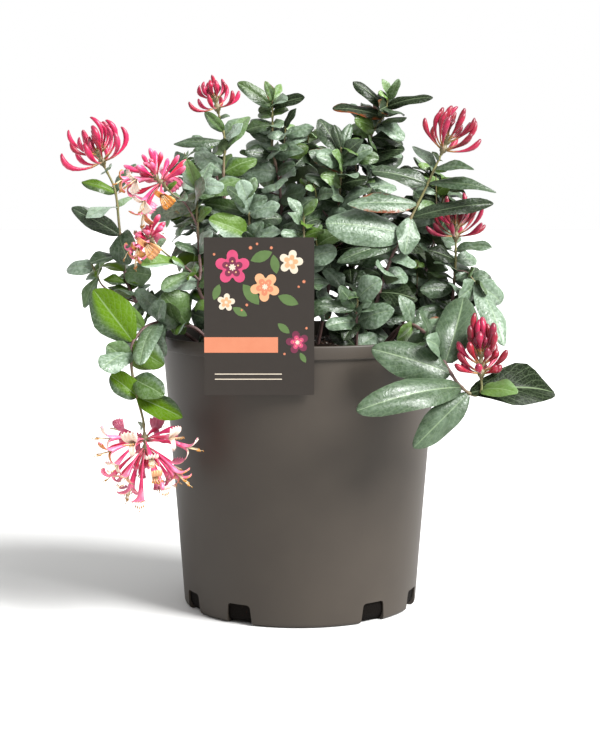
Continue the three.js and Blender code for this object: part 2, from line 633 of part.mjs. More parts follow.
// The space that a stem takes in the soil, a little wider and deeper than the stem.
function stemHole(stem) {
  const growth = new Growth();
  let previous = null;
  for (const { at, turn } of ringsOf(stem)) {
    const frame = frameAt(stem, at);
    if (!previous) frame.point = plus(frame.point, [frame.tangent, -soil.gap]);
    const ring = growth.ring(stemRing(frame, radiusAt(stem, at) + soil.holeGap, turn));
    if (previous) growth.band(previous, ring);
    else growth.face(...[...ring].reverse());
    previous = ring;
    if (frame.point.z > soil.top + 2 * soil.mound) break;
  }
  growth.face(...previous);
  return growth.solid();
}

function closeTip(growth, stem, ring) {
  const frame = frameAt(stem, stem.last);
  const [tip] = growth.ring([plus(frame.point, [frame.tangent, 3])]);
  for (let i = 0; i < 4; i += 1) growth.face(ring[i], ring[(i + 1) % 4], tip);
}

// Blooms: a short spike with whorls of florets, and a bud at its end

function floretLine(root, axis, out, from, to, length, s) {
  const start = radians(from);
  const turn = radians(to) - start;
  const angle = start + turn * s;
  const run = length / turn;
  return {
    point: plus(root, [axis, run * (Math.sin(angle) - Math.sin(start))],
      [out, run * (Math.cos(start) - Math.cos(angle))]),
    along: plus(vec(0, 0, 0), [axis, Math.cos(angle)], [out, Math.sin(angle)]),
    outer: plus(vec(0, 0, 0), [axis, -Math.sin(angle)], [out, Math.cos(angle)]),
  };
}

function floretRing({ point, along, outer }, thick, wide) {
  const across = outer.clone().cross(along);
  return [[1, 1], [-1, 1], [-1, -1], [1, -1]].map(([a, b]) =>
    plus(point, [across, a * wide * 0.7], [outer, b * thick * 0.7]));
}

function growTube(growth, root, rings) {
  let near = growth.matched(root, growth.ring(rings[0]));
  let far = rings[0].map((_, i) => growth.points.length - 4 + i);
  growth.band(near, far);
  for (const points of rings.slice(1)) {
    near = far;
    far = growth.ring(points);
    growth.band(near, far);
  }
  return [near, far];
}

function growFloret(growth, root, line, open) {
  const { rings, flatness } = open ? trumpetForm : budForm;
  const [, end] = growTube(growth, root, rings.map(([s, r]) => floretRing(line(s), flatness * r, r)));
  if (!open) {
    growth.face(...end);
    return;
  }
  growLip(growth, end, line(1));
}

// The upper lip turns back over the tube, as a strap with a blunt end.
function growLip(growth, root, { point, along, outer }) {
  const rings = [[0.5, 45, 1], [1, 105, 0.6]].map(([s, curl, share]) => {
    const angle = radians(curl);
    const reach = trumpetForm.lipLength * s;
    const direction = plus(vec(0, 0, 0), [along, Math.cos(angle)], [outer, Math.sin(angle)]);
    const middle = plus(point, [along, reach * Math.cos(angle / 2)], [outer, reach * Math.sin(angle / 2)]);
    const facing = plus(vec(0, 0, 0), [outer, Math.cos(angle)], [along, -Math.sin(angle)]);
    const frame = { point: middle, along: direction, outer: facing };
    return floretRing(frame, 0.6, trumpetForm.lipWidth / 2 * share);
  });
  const [, end] = growTube(growth, root, rings);
  growth.face(...end);
}

function hubRing(start, axis, out, side, height, radius, turn) {
  return [0, 1, 2, 3, 4, 5].map(k => {
    const angle = radians(60 * k + turn);
    return plus(start, [axis, height], [out, radius * Math.cos(angle)], [side, radius * Math.sin(angle)]);
  });
}

function bloomParts(bloom, shoot) {
  const { point, tangent: axis } = frameAt(shoot, shoot.last);
  const start = plus(point, [axis, hubForm.gap]);
  const out = acrossTo(vec(0.3, -1, 0.2), axis);
  const side = axis.clone().cross(out);
  let height = 2.4;
  const whorls = bloom.whorls.map(([count, from, to, length, open], index) => {
    const turn = 30 * index;
    const florets = [...Array(count).keys()].map(k => {
      const angle = radians(60 * k + turn + 30);
      const away = plus(vec(0, 0, 0), [out, Math.cos(angle)], [side, Math.sin(angle)]);
      const root = plus(start, [axis, height + hubForm.whorlHeight / 2], [away, hubForm.radius * 0.87]);
      const vary = 1 - 0.14 * ((k * 5 + index * 3) % 4) / 3;
      const swing = 8 * (((k * 7 + index * 2) % 5) / 4 - 0.5);
      return s => floretLine(root, axis, away, from + swing, to + swing, length * vary, s);
    });
    const whorl = { turn, low: height, high: height + hubForm.whorlHeight, florets, open: open === 1 };
    height = whorl.high + hubForm.spacer;
    return whorl;
  });
  return { start, axis, out, side, whorls, top: height };
}

function growBloom({ start, axis, out, side, whorls, top }) {
  const growth = new Growth();
  const ringAt = (height, radius, turn) =>
    growth.ring(hubRing(start, axis, out, side, height, radius, turn));
  let previous = ringAt(0, hubForm.foot, 0);
  growth.face(...[...previous].reverse());
  for (const whorl of whorls) {
    const low = ringAt(whorl.low, hubForm.radius, whorl.turn);
    growth.band(previous, low);
    const high = ringAt(whorl.high, hubForm.radius, whorl.turn);
    whorl.florets.forEach((line, k) => {
      const next = (k + 1) % 6;
      growFloret(growth, [low[k], low[next], high[next], high[k]], line, whorl.open);
    });
    previous = high;
  }
  const [tip] = growth.ring([plus(start, [axis, top + hubForm.tip - hubForm.spacer])]);
  previous.forEach((corner, k) => growth.face(corner, previous[(k + 1) % 6], tip));
  return growth.solid();
}

// Solids and meshes

function solidOf(geometry) {
  const bare = geometry.clone();
  bare.deleteAttribute('normal');
  bare.deleteAttribute('uv');
  const merged = mergeVertices(bare, 1e-4);
  return new wasm.Manifold(new wasm.Mesh({
    numProp: 3,
    vertProperties: merged.attributes.position.array,
    triVerts: Uint32Array.from(merged.index.array),
  }));
}

function meshOf(name, solid, colour, roughness) {
  const { numProp, vertProperties, triVerts } = solid.getMesh();
  const geometry = new THREE.BufferGeometry();
  const positions = new Float32Array(vertProperties.length / numProp * 3);
  for (let i = 0; i < positions.length / 3; i += 1) {
    for (let k = 0; k < 3; k += 1) positions[3 * i + k] = vertProperties[numProp * i + k];
  }
  geometry.setAttribute('position', new THREE.BufferAttribute(positions, 3));
  geometry.setIndex([...triVerts]);
  geometry.computeVertexNormals();
  const material = new THREE.MeshStandardMaterial({ color: colour, roughness, metalness: 0 });
  const mesh = new THREE.Mesh(geometry, material);
  mesh.name = name;
  return mesh;
}

function lathe(profile) {
  const points = profile.map(([radius, height]) => new THREE.Vector2(radius, height));
  return new THREE.LatheGeometry(points, pot.sides).rotateX(Math.PI / 2);
}

function boxSolid(x0, x1, y0, y1, z0, z1) {
  const box = new THREE.BoxGeometry(x1 - x0, y1 - y0, z1 - z0);
  return solidOf(box.translate((x0 + x1) / 2, (y0 + y1) / 2, (z0 + z1) / 2));
}

// The pot

const slantHeight = pot.height - pot.bandHeight - pot.cornerHeight;
const taper = (pot.rimRadius - pot.bandStep - pot.baseRadius) / slantHeight;
const outerAt = z => pot.baseRadius + taper * (z - pot.cornerHeight);
const innerAt = z => outerAt(z) - pot.wall;

function potSolid() {
  const bandFoot = pot.height - pot.bandHeight;
  const flatRadius = pot.baseRadius - pot.cornerInset;
  const profile = [[0, 0], [flatRadius, 0], [pot.baseRadius - 1.2, 2], [pot.baseRadius, pot.cornerHeight],
    [outerAt(bandFoot), bandFoot], [pot.rimRadius, bandFoot], [pot.rimRadius, pot.height],
    [pot.rimRadius - pot.rimThickness, pot.height], [innerAt(bandFoot - 1), bandFoot - 1],
    [innerAt(pot.cornerHeight + 1), pot.cornerHeight + 1], [flatRadius, pot.floor], [0, pot.floor]];
  let solid = solidOf(lathe(profile));
  for (const angle of pot.notchAngles) {
    for (const turn of [0, 180]) solid = solid.subtract(notchCutter(angle + turn));
  }
  return solid;
}

function notchCutter(degrees) {
  const foot = pot.notchFoot / 2;
  const head = pot.notchHead / 2;
  const outline = new THREE.Shape([new THREE.Vector2(-foot, -1), new THREE.Vector2(foot, -1),
    new THREE.Vector2(head, pot.notchHeight - 2), new THREE.Vector2(head - 2.5, pot.notchHeight),
    new THREE.Vector2(2.5 - head, pot.notchHeight), new THREE.Vector2(-head, pot.notchHeight - 2)]);
  const cutter = new THREE.ExtrudeGeometry(outline, { depth: 20, bevelEnabled: false });
  cutter.rotateX(Math.PI / 2).translate(0, -pot.notchInner, 0);
  return solidOf(cutter.rotateZ(radians(degrees)));
}

// The soil, with a hole for each stem and a slot for the label's stake

function soilSolid(shoots) {
  const foot = pot.floor + soil.gap;
  const edge = innerAt(soil.top) - soil.gap;
  const profile = [[0, foot], [pot.baseRadius - pot.cornerInset - soil.gap, foot],
    [innerAt(pot.cornerHeight + 1) - soil.gap, pot.cornerHeight + 1], [edge, soil.top],
    ...[...soil.ringRadii].reverse().map(share => [edge * share, soil.top]), [0, soil.top]];
  const geometry = lathe(profile);
  const place = geometry.attributes.position;
  for (let i = 0; i < place.count; i += 1) {
    const [x, y, z] = [place.getX(i), place.getY(i), place.getZ(i)];
    if (z > soil.top - 1) place.setZ(i, soilHeight(x, y));
  }
  let solid = solidOf(geometry);
  for (const stem of shoots) solid = solid.subtract(stemHole(stem));
  const stake = label.stakeLeft;
  const slot = boxSolid(stake - 0.4, stake + label.stakeWidth + 0.4, label.stakeFront - 0.4,
    label.stakeFront + label.stakeThickness + 0.4, label.stakeFoot - 0.4, soil.top + 20);
  return solid.subtract(slot);
}

function soilHeight(x, y) {
  const share = Math.hypot(x, y) / innerAt(soil.top);
  const ripple = Math.sin(0.11 * x + 0.05 * y) * Math.cos(0.09 * y - 0.04 * x);
  return soil.top + soil.mound * (1 - share * share) + soil.bumps * ripple * (1 - share ** 6);
}

// The label: a card in front of the pot, on a stake hooked over the rim

function labelSolid() {
  const back = label.front + label.thickness;
  const right = label.left + label.width;
  const overRim = pot.height + label.overRim;
  const stakeRight = label.stakeLeft + label.stakeWidth;
  const stakeBack = label.stakeFront + label.stakeThickness;
  const card = boxSolid(label.left, right, label.front, back, label.bottom, label.bottom + label.height);
  const bridge = boxSolid(label.stakeLeft, stakeRight, back - 0.5, stakeBack, overRim,
    overRim + label.stakeThickness);
  const stake = boxSolid(label.stakeLeft, stakeRight, label.stakeFront, stakeBack, label.stakeFoot,
    overRim + 0.5);
  return card.add(bridge).add(stake);
}

// Putting the vine together

const shoots = stems.map(stem => readStem(stem));
const sideShoots = shoots.map(stem => stem.branches.map(branch => readStem(branch, stem)));
const allShoots = shoots.flatMap((stem, i) => [stem, ...sideShoots[i]]);

for (const shoot of allShoots) {
  const steps = Math.ceil(shoot.curve.getLength() / 4);
  for (let i = 0; i <= steps; i += 1) {
    const at = shoot.last * i / steps;
    room.stemPoints.push({ point: shoot.curve.getPoint(i / steps), radius: radiusAt(shoot, at), shoot });
  }
}
const bloomForms = blooms.map(bloom => {
  const shoot = allShoots.find(({ name }) => name === bloom.on);
  const form = bloomParts(bloom, shoot);
  for (const whorl of form.whorls) {
    for (const line of whorl.florets) {
      for (let s = 0.1; s < 1.05; s += 0.15) room.bloomPoints.push(line(s).point);
      const end = line(1);
      const lip = whorl.open ? trumpetForm.lipLength : 0;
      for (const share of [0.5, 1]) room.bloomPoints.push(plus(end.point, [end.outer, lip * share]));
    }
  }
  return { bloom, form };
});
layOut(allShoots);

const group = new THREE.Group();
group.add(meshOf('nursery_pot', potSolid(), colours.pot, 0.6));
group.add(meshOf('potting_soil', soilSolid(shoots), colours.soil, 0.95));
group.add(meshOf('plant_label', labelSolid(), colours.label, 0.5));
shoots.forEach((stem, i) => {
  const solid = sideShoots[i].reduce((whole, branch) => whole.add(growStem(branch)), growStem(stem));
  group.add(meshOf(stem.name, solid, colours.green, 0.6));
});
for (const { bloom, form } of bloomForms) group.add(meshOf(bloom.name, growBloom(form), colours.pink, 0.5));

export default group;
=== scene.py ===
# A honeysuckle vine in its nursery pot: leaves, stems, blooms, pot, soil and plant label, each dressed over
# its plain solid. Lengths in the dictionaries are millimetres; every mesh is made in metres.
import json
import math
from functools import partial
from types import SimpleNamespace

import bmesh
import bpy
import numpy as np
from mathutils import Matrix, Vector, noise

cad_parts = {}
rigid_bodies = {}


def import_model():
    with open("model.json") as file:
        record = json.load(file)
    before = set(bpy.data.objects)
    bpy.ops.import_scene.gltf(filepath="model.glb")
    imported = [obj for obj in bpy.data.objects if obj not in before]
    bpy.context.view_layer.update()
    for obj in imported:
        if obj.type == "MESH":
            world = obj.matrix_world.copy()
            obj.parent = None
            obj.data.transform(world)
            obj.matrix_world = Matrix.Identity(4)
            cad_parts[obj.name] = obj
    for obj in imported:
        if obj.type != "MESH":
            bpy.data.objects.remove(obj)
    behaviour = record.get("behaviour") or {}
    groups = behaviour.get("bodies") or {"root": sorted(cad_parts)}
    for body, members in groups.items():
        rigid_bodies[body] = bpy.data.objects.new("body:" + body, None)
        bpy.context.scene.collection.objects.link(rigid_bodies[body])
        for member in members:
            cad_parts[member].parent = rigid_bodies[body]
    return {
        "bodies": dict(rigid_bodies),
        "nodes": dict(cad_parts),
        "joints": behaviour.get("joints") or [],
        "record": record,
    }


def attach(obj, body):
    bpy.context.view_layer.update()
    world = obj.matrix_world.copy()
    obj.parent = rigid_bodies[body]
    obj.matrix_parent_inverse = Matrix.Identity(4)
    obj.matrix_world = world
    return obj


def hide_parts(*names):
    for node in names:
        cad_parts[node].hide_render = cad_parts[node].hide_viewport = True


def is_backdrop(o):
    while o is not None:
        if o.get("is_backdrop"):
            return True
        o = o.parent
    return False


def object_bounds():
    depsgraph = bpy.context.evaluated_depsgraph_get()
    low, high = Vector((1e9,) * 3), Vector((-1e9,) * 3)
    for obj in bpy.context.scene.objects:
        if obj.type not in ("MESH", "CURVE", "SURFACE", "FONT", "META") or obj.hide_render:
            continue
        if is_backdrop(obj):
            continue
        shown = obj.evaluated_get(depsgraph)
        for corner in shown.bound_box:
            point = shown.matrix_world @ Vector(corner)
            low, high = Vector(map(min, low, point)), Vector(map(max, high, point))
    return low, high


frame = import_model()
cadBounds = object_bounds()
mm = 0.001

cameraSettings = {"place": (0, -1.436, 0.364), "pitch": 6.575, "lens": 83.65, "sensor": 36}


def addCamera():
    data = bpy.data.cameras.new("camera")
    data.lens = cameraSettings["lens"]
    data.sensor_width = cameraSettings["sensor"]
    camera = bpy.data.objects.new("camera", data)
    camera.location = cameraSettings["place"]
    camera.rotation_euler = (math.radians(90 - cameraSettings["pitch"]), 0, 0)
    bpy.context.collection.objects.link(camera)
    bpy.context.scene.camera = camera


addCamera()
print("camera placed")


# Small helpers

def linear(colour):
    channels = [int(colour[i:i + 2], 16) / 255 for i in (1, 3, 5)]
    return tuple(c / 12.92 if c <= 0.04045 else ((c + 0.055) / 1.055) ** 2.4 for c in channels) + (1.0,)


# Adds a node with its settings. Its inputs come in the order of its sockets, or by name in a dictionary:
# another node's output is linked, and any other value is set. It gives back the output that is asked for, or
# the first.
def addNode(tree, kind, *inputs, output=None, **settings):
    node = tree.nodes.new(kind)
    for name, value in settings.items():
        setattr(node, name, value)
    if inputs and isinstance(inputs[0], dict):
        pairs = [(node.inputs[name], value) for name, value in inputs[0].items()]
    else:
        pairs = zip([socket for socket in node.inputs if socket.enabled], inputs)
    for socket, value in pairs:
        if isinstance(value, bpy.types.NodeSocket):
            tree.links.new(value, socket)
        else:
            socket.default_value = value
    if output:
        return node.outputs[output]
    return next((socket for socket in node.outputs if socket.enabled), None)


mathNode, mixNode = "ShaderNodeMath", "ShaderNodeMix"
rangeNode, noiseNode = "ShaderNodeMapRange", "ShaderNodeTexNoise"
namedValue = "GeometryNodeInputNamedAttribute"
inColour = {"data_type": "RGBA"}
smoothly = {"interpolation_type": "SMOOTHSTEP"}


def newMaterial(name, roughness, ior=1.5, **sockets):
    material = bpy.data.materials.new(name)
    material.use_nodes = True
    material.node_tree.nodes.clear()
    add = partial(addNode, material.node_tree)
    values = {socket.replace("_", " "): value for socket, value in sockets.items()}
    shader = add("ShaderNodeBsdfPrincipled", {"Roughness": roughness, "IOR": ior, **values})
    add("ShaderNodeOutputMaterial", shader)
    return material, add, shader.node, add("ShaderNodeTexCoord", output="Object")


def dress(shader, colour, height=None, depth=0.0, strength=1.0):
    # colour, and relief whose depth is in millimetres
    links = shader.id_data.links
    links.new(colour, shader.inputs["Base Color"])
    if height:
        relief = {"Height": height, "Distance": depth * mm, "Strength": strength}
        links.new(addNode(shader.id_data, "ShaderNodeBump", relief), shader.inputs["Normal"])


def grainyMaterial(name, tones, patch, grain, roughness, ior=1.5, **sockets):
    # two tones in soft patches of a size and detail, and a grain of a size, detail, depth and strength
    material, add, shader, place = newMaterial(name, roughness, ior, **sockets)
    patches = add(noiseNode, place, 1 / (patch[0] * mm), patch[1])
    colour = add(mixNode, patches, linear(tones[0]), linear(tones[1]), **inColour)
    height = add(noiseNode, place, 1 / (grain[0] * mm), grain[1]) if grain else None
    dress(shader, colour, height, *(grain or ())[2:])
    return material


def newMesh(name, points, faces, materials=(), smooth=True):
    mesh = bpy.data.meshes.new(name)
    mesh.from_pydata([tuple(p) for p in points], [], faces)
    for material in materials:
        mesh.materials.append(material)
    mesh.polygons.foreach_set("use_smooth", [smooth] * len(mesh.polygons))
    mesh.update()
    return mesh


def newPiece(name, mesh):
    piece = bpy.data.objects.new(name, mesh)
    bpy.context.collection.objects.link(piece)
    return piece


def storeValues(mesh, name, values):
    values = np.asarray(values, dtype=np.float32)
    kind = "FLOAT_VECTOR" if values.ndim == 2 else "FLOAT"
    layer = mesh.attributes.new(name, kind, "POINT")
    layer.data.foreach_set("vector" if values.ndim == 2 else "value", values.ravel())


def bakeModifiers(piece):
    graph = bpy.context.evaluated_depsgraph_get()
    evaluated = piece.evaluated_get(graph)
    mesh = bpy.data.meshes.new_from_object(evaluated, preserve_all_data_layers=True, depsgraph=graph)
    piece.modifiers.clear()
    piece.data = mesh
    mesh.name = piece.name


def finishPiece(piece, slot, *nodes):
    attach(piece, "root")
    if nodes:
        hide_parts(*nodes)


def unit(vector):
    return vector / np.linalg.norm(vector)


def acrossTo(direction, axis):
    return unit(direction - axis * np.dot(direction, axis))


def seededDraw(seed):
    state = seed
    while True:
        state = state * 48271 % 2147483647
        yield state / 2147483647


# Stems: each has its route from its foot in the soil, its radius at foot and tip, and its leaf nodes. A node
# is its place along the route in points and its leaves, each a length, or the tip and width of a known one.

stems = [
  {
    "name": "stem_far_left", "foot": 2.1, "tip": 1.1, "flowers": True,
    "route": [[-60, -14, 203], [-116, -25, 246], [-134, -24, 256], [-143, -20, 273], [-147, -16, 295],
      [-150, -12, 320], [-153, -12, 348], [-161, -14, 367]],
    "nodes": [[0.72, 31, 29], [1.5, 26, 24], [2.35, [-149, -48, 268, 16], 24], [2.95, [-162, -28, 275, 9]],
      [3.4, [-122, -30, 279, 19]], [3.95, [-171, -32, 289, 15]],
      [4.68, [-188, -22, 334, 17], [-138, -27, 289, 21]], [5.5, [-174, -22, 326, 13], 17],
      [5.93, [-180, -17, 355, 13], [-136, -5, 370, 13]], [6.8, 12, 12]],
    "branches": [{
      "from": 2, "foot": 1.1, "tip": 0.8, "route": [[-147, -30, 261], [-161, -34, 270], [-166, -35, 279],
        [-170, -35, 288]],
      "nodes": [[2.9, [-176, -42, 253, 11]], [3.7, [-176, -48, 306, 10]]],
    }],
  },
  {
    "name": "stem_left_droop", "foot": 2.1, "tip": 1.1, "flowers": True,
    "route": [[-55, -50, 203], [-82, -58, 236], [-105, -62, 243], [-122, -76, 241], [-133, -86, 227],
      [-133, -92, 209], [-129, -96, 189], [-124, -98, 170], [-123, -98, 159]],
    "nodes": [[1.35, [-110, -70, 267, 30]], [1.95, [-134, -44, 268, 13], 24], [2.45, [-124, -112, 215, 18]],
      [3.85, [-165, -69, 270, 29]], [4.7, [-152, -88, 228, 17]],
      [5.4, [-106, -110, 190, 19]], [6.1, [-155, -104, 208, 16], [-92, -106, 172, 17]], [7.4, 12, 12]],
    "branches": [],
  },
  {
    "name": "stem_left_inner", "foot": 2.1, "tip": 0.9,
    "route": [[-40, -28, 203], [-78, -60, 261], [-80, -58, 285], [-82, -55, 313], [-83, -52, 337],
      [-82, -50, 354]],
    "nodes": [[0.6, 31, 31], [1.4, 29, 31], [2.5, 29, 29], [3.45, 24, 26], [3.95, [-122, -48, 326, 13]],
      [4.3, [-47, -54, 357, 15]], [4.72, [-90, -55, 373, 12], [-72, -47, 371, 12]]],
    "branches": [{
      "name": "left_upper_shoot", "from": 3.25, "foot": 1.1, "tip": 0.9, "flowers": True,
      "route": [[-91, -58, 337], [-101, -60, 345], [-107, -62, 351]],
      "nodes": [[1.5, 16, 16], [2.7, 10, 10]],
    }, {
      "name": "left_lower_shoot", "from": 1.6, "foot": 1.1, "tip": 0.9, "flowers": True,
      "route": [[-91, -64, 287], [-105, -68, 297], [-116, -70, 307]],
      "nodes": [[0.6, [-110, -68, 270, 12]], [1.1, [-125, -72, 290, 13], [-102, -70, 295, 9]],
        [1.75, [-88, -76, 306, 9]], [2.65, 10, 10]],
    }],
  },
  {
    "name": "stem_top_left", "foot": 2.1, "tip": 1, "flowers": True,
    "route": [[-30, 10, 203], [-57, -12, 282], [-61, -12, 320], [-63, -12, 348], [-63, -10, 371],
      [-62, -10, 389], [-67, -12, 411]],
    "nodes": [[0.5, 34, 34], [0.95, 36, 34], [1.5, 36, 36], [2.2, 34, 36], [2.9, 31, 34], [3.6, 34, 31],
      [4.5, [-42, 4, 409, 17], 26], [4.95, [-104, -16, 386, 10], [-47, -14, 403, 9]],
      [5.35, [-78, -14, 412, 9]], [5.85, 10, 10]],
    "branches": [{
      "from": 2.65, "foot": 1, "tip": 0.8,
      "route": [[-69, 10, 357], [-74, 20, 372], [-78, 24, 385]],
      "nodes": [[1.2, 29, 29], [2.1, 24, 24], [2.75, 14, 14]],
    }],
  },
  {
    "name": "stem_tall", "foot": 2.1, "tip": 0.8,
    "route": [[-12, 22, 203], [-14, 18, 281], [-15, 16, 323], [-18, 15, 357], [-23, 12, 382], [-23, 10, 404],
      [-23, 10, 425]],
    "nodes": [[0.6, 36, 36], [1.1, 38, 36], [1.8, 38, 41], [2.5, 36, 36], [3.2, 34, 36],
      [3.8, [-46, 2, 380, 14], [3, 7, 380, 14]], [4.35, 26, 29], [4.9, [-46, 2, 398, 13], 24],
      [5.62, [-52, 5, 437, 15], [4, 4, 425, 12]], [5.85, [-29, 6, 438, 7], [-16, 12, 437, 7]]],
    "branches": [{
      "from": 2.9, "foot": 1, "tip": 0.7, "route": [[-14, 12, 369], [-13, 10, 389], [-12, 8, 403]],
      "nodes": [[1.4, 24, 24], [2.3, [12, 5, 400, 13], 16], [2.75, [-3, 4, 416, 9]]],
    }],
  },
  {
    "name": "stem_centre", "foot": 2, "tip": 0.8,
    "route": [[-8, -35, 203], [-36, -50, 276], [-40, -52, 309], [-41, -52, 329], [-42, -50, 347]],
    "nodes": [[0.55, 34, 34], [1.1, 31, 34], [1.6, 24, 26], [2.1, [-73, -66, 326, 19]],
      [3.05, [-77, -52, 338, 12], [-16, -60, 337, 14]], [3.35, [-58, -58, 351, 12]],
      [3.8, [-49, -52, 359, 8], [-36, -47, 359, 8]]],
    "branches": [],
  },
  {
    "name": "stem_centre_front", "foot": 1.8, "tip": 0.7,
    "route": [[6, -58, 203], [3, -62, 262], [3, -62, 296], [3, -60, 321], [3, -59, 332]],
    "nodes": [[0.7, 31, 31], [1.3, 31, 31], [1.9, 29, 29], [2.55, 24, 26], [2.98, [-10, -64, 331, 9], 18],
      [3.6, [-10, -61, 343, 8], [14, -56, 342, 8]]],
    "branches": [],
  },
  {
    "name": "stem_centre_right", "foot": 2.1, "tip": 0.8,
    "route": [[12, 0, 203], [25, -5, 274], [28, -6, 307], [32, -8, 336], [34, -10, 363], [34, -10, 385]],
    "nodes": [[0.5, 36, 36], [1, 38, 36], [1.6, 36, 38], [2.3, 36, 36], [3, 34, 34],
      [3.6, [56, -18, 357, 15], [4, -20, 360, 15]], [4.05, [7, -16, 380, 15]],
      [4.5, [16, -6, 407, 17], [52, -16, 390, 13]], [4.85, [28, -18, 402, 8], [42, -8, 403, 8]]],
    "branches": [],
  },
  {
    "name": "stem_top_right", "foot": 2.1, "tip": 0.8,
    "route": [[35, 15, 203], [44, 24, 272], [51, 24, 323], [58, 22, 365], [60, 20, 393], [70, 15, 410],
      [74, 12, 426]],
    "nodes": [[0.5, 36, 36], [1, 38, 38], [1.5, 38, 38], [2.05, 38, 36], [2.6, 36, 36], [3.1, 34, 34],
      [3.6, [35, 12, 388, 14], 31], [4.3, [39, 26, 419, 13], [88, 8, 408, 11]], [4.95, [27, 9, 416, 14]],
      [5.45, [44, 9, 438, 15], [111, 9, 425, 15]], [5.85, [68, 7, 440, 8], [82, 18, 440, 8]]],
    "branches": [],
  },
  {
    "name": "stem_right_bloom", "foot": 2.1, "tip": 1.1, "flowers": True,
    "route": [[40, -30, 203], [58, -62, 247], [65, -62, 272], [76, -60, 301], [89, -58, 327], [102, -55, 353],
      [113, -52, 377]],
    "nodes": [[0.7, 31, 34], [1.4, 34, 31], [2.2, 31, 31], [2.8, [92, -72, 288, 12], 29],
      [3.2, [29, -78, 292, 14], 31], [3.5, [20, -67, 323, 27]],
      [4, [83, -72, 298, 17], [156, -50, 338, 15]], [4.4, [37, -66, 338, 18]],
      [5.03, [57, -62, 364, 17], [156, -68, 347, 16]], [5.5, [138, -62, 365, 12], [92, -30, 384, 13]],
      [5.85, 11, 11]],
    "branches": [],
  },
  {
    "name": "stem_right_mid", "foot": 2.1, "tip": 1.1, "flowers": True,
    "route": [[60, -12, 203], [108, -18, 237], [124, -22, 251], [127, -24, 271], [128, -26, 290],
      [128, -26, 306]],
    "nodes": [[0.9, 34, 31], [1.5, 29, 29], [2, [95, -34, 245, 14], 31], [2.9, [98, -34, 267, 14]],
      [3.5, [152, -38, 257, 14], 31], [4.05, [104, -34, 300, 14], 26],
      [4.55, [157, -34, 302, 11]]],
    "branches": [{
      "from": 3.6, "foot": 1, "tip": 0.8, "route": [[137, -34, 281], [146, -42, 269]],
      "nodes": [[1.1, 18, 16], [1.7, [163, -57, 225, 21], 20]],
    }],
  },
  {
    "name": "stem_right_front", "foot": 2.1, "tip": 1.1, "flowers": True,
    "route": [[52, -52, 203], [82, -72, 241], [102, -100, 234], [113, -116, 215], [123, -122, 200],
      [134, -124, 192], [140, -124, 195], [140, -123, 204]],
    "nodes": [[1.3, 30, 28], [1.95, [92, -116, 256, 18], 26],
      [2.95, [130, -92, 264, 26], [154, -78, 252, 22]], [3.4, [55, -124, 228, 26]],
      [4.2, [42, -146, 186, 24]], [4.65, [87, -138, 153, 20], [201, -102, 190, 30]],
      [6.15, [170, -96, 216, 14], [166, -142, 196, 17]]],
    "branches": [],
  },
  {
    "name": "stem_front_short", "foot": 1.8, "tip": 0.8,
    "route": [[44, -82, 203], [45, -84, 237], [45, -86, 257], [46, -86, 268]],
    "nodes": [[0.6, 29, 29], [1.3, [74, -99, 256, 20], [20, -100, 243, 14]],
      [1.95, [13, -96, 259, 10], [30, -98, 274, 13]], [2.6, [64, -96, 279, 18], 14]],
    "branches": [],
  },
  {
    "name": "stem_back_left", "foot": 2.1, "tip": 0.9,
    "route": [[-38, 48, 203], [-72, 76, 262], [-88, 84, 312], [-96, 84, 352], [-101, 80, 378]],
    "nodes": [[0.6, 38, 38], [1.1, 41, 41], [1.6, 41, 38], [2.1, 38, 38], [2.6, 36, 34], [3.1, 34, 31],
      [3.55, 26, 26], [3.85, 14, 14]],
    "branches": [],
  },
  {
    "name": "stem_back_centre", "foot": 2.1, "tip": 0.9,
    "route": [[-4, 58, 203], [-8, 84, 268], [-4, 92, 322], [4, 90, 368], [8, 86, 398]],
    "nodes": [[0.5, 38, 38], [0.95, 41, 41], [1.4, 41, 41], [1.85, 41, 38], [2.3, 38, 38], [2.75, 36, 36],
      [3.2, 31, 31], [3.6, 26, 24], [3.88, 13, 13]],
    "branches": [],
  },
  {
    "name": "stem_back_right", "foot": 2.1, "tip": 0.9,
    "route": [[40, 50, 203], [76, 76, 258], [98, 80, 304], [110, 76, 344], [116, 70, 370]],
    "nodes": [[0.6, 38, 38], [1.1, 41, 41], [1.6, 41, 38], [2.1, 38, 38], [2.6, 36, 34], [3.1, 31, 31],
      [3.55, 26, 26], [3.85, 14, 14]],
    "branches": [],
  },
  {
    "name": "stem_right_inner", "foot": 2, "tip": 0.9,
    "route": [[66, 22, 203], [98, 30, 252], [112, 32, 296], [120, 28, 334], [126, 24, 356]],
    "nodes": [[0.6, 36, 36], [1.1, 38, 36], [1.65, 36, 36], [2.2, 36, 34], [2.75, 31, 31], [3.3, 26, 26],
      [3.8, 14, 14]],
    "branches": [],
  },
]

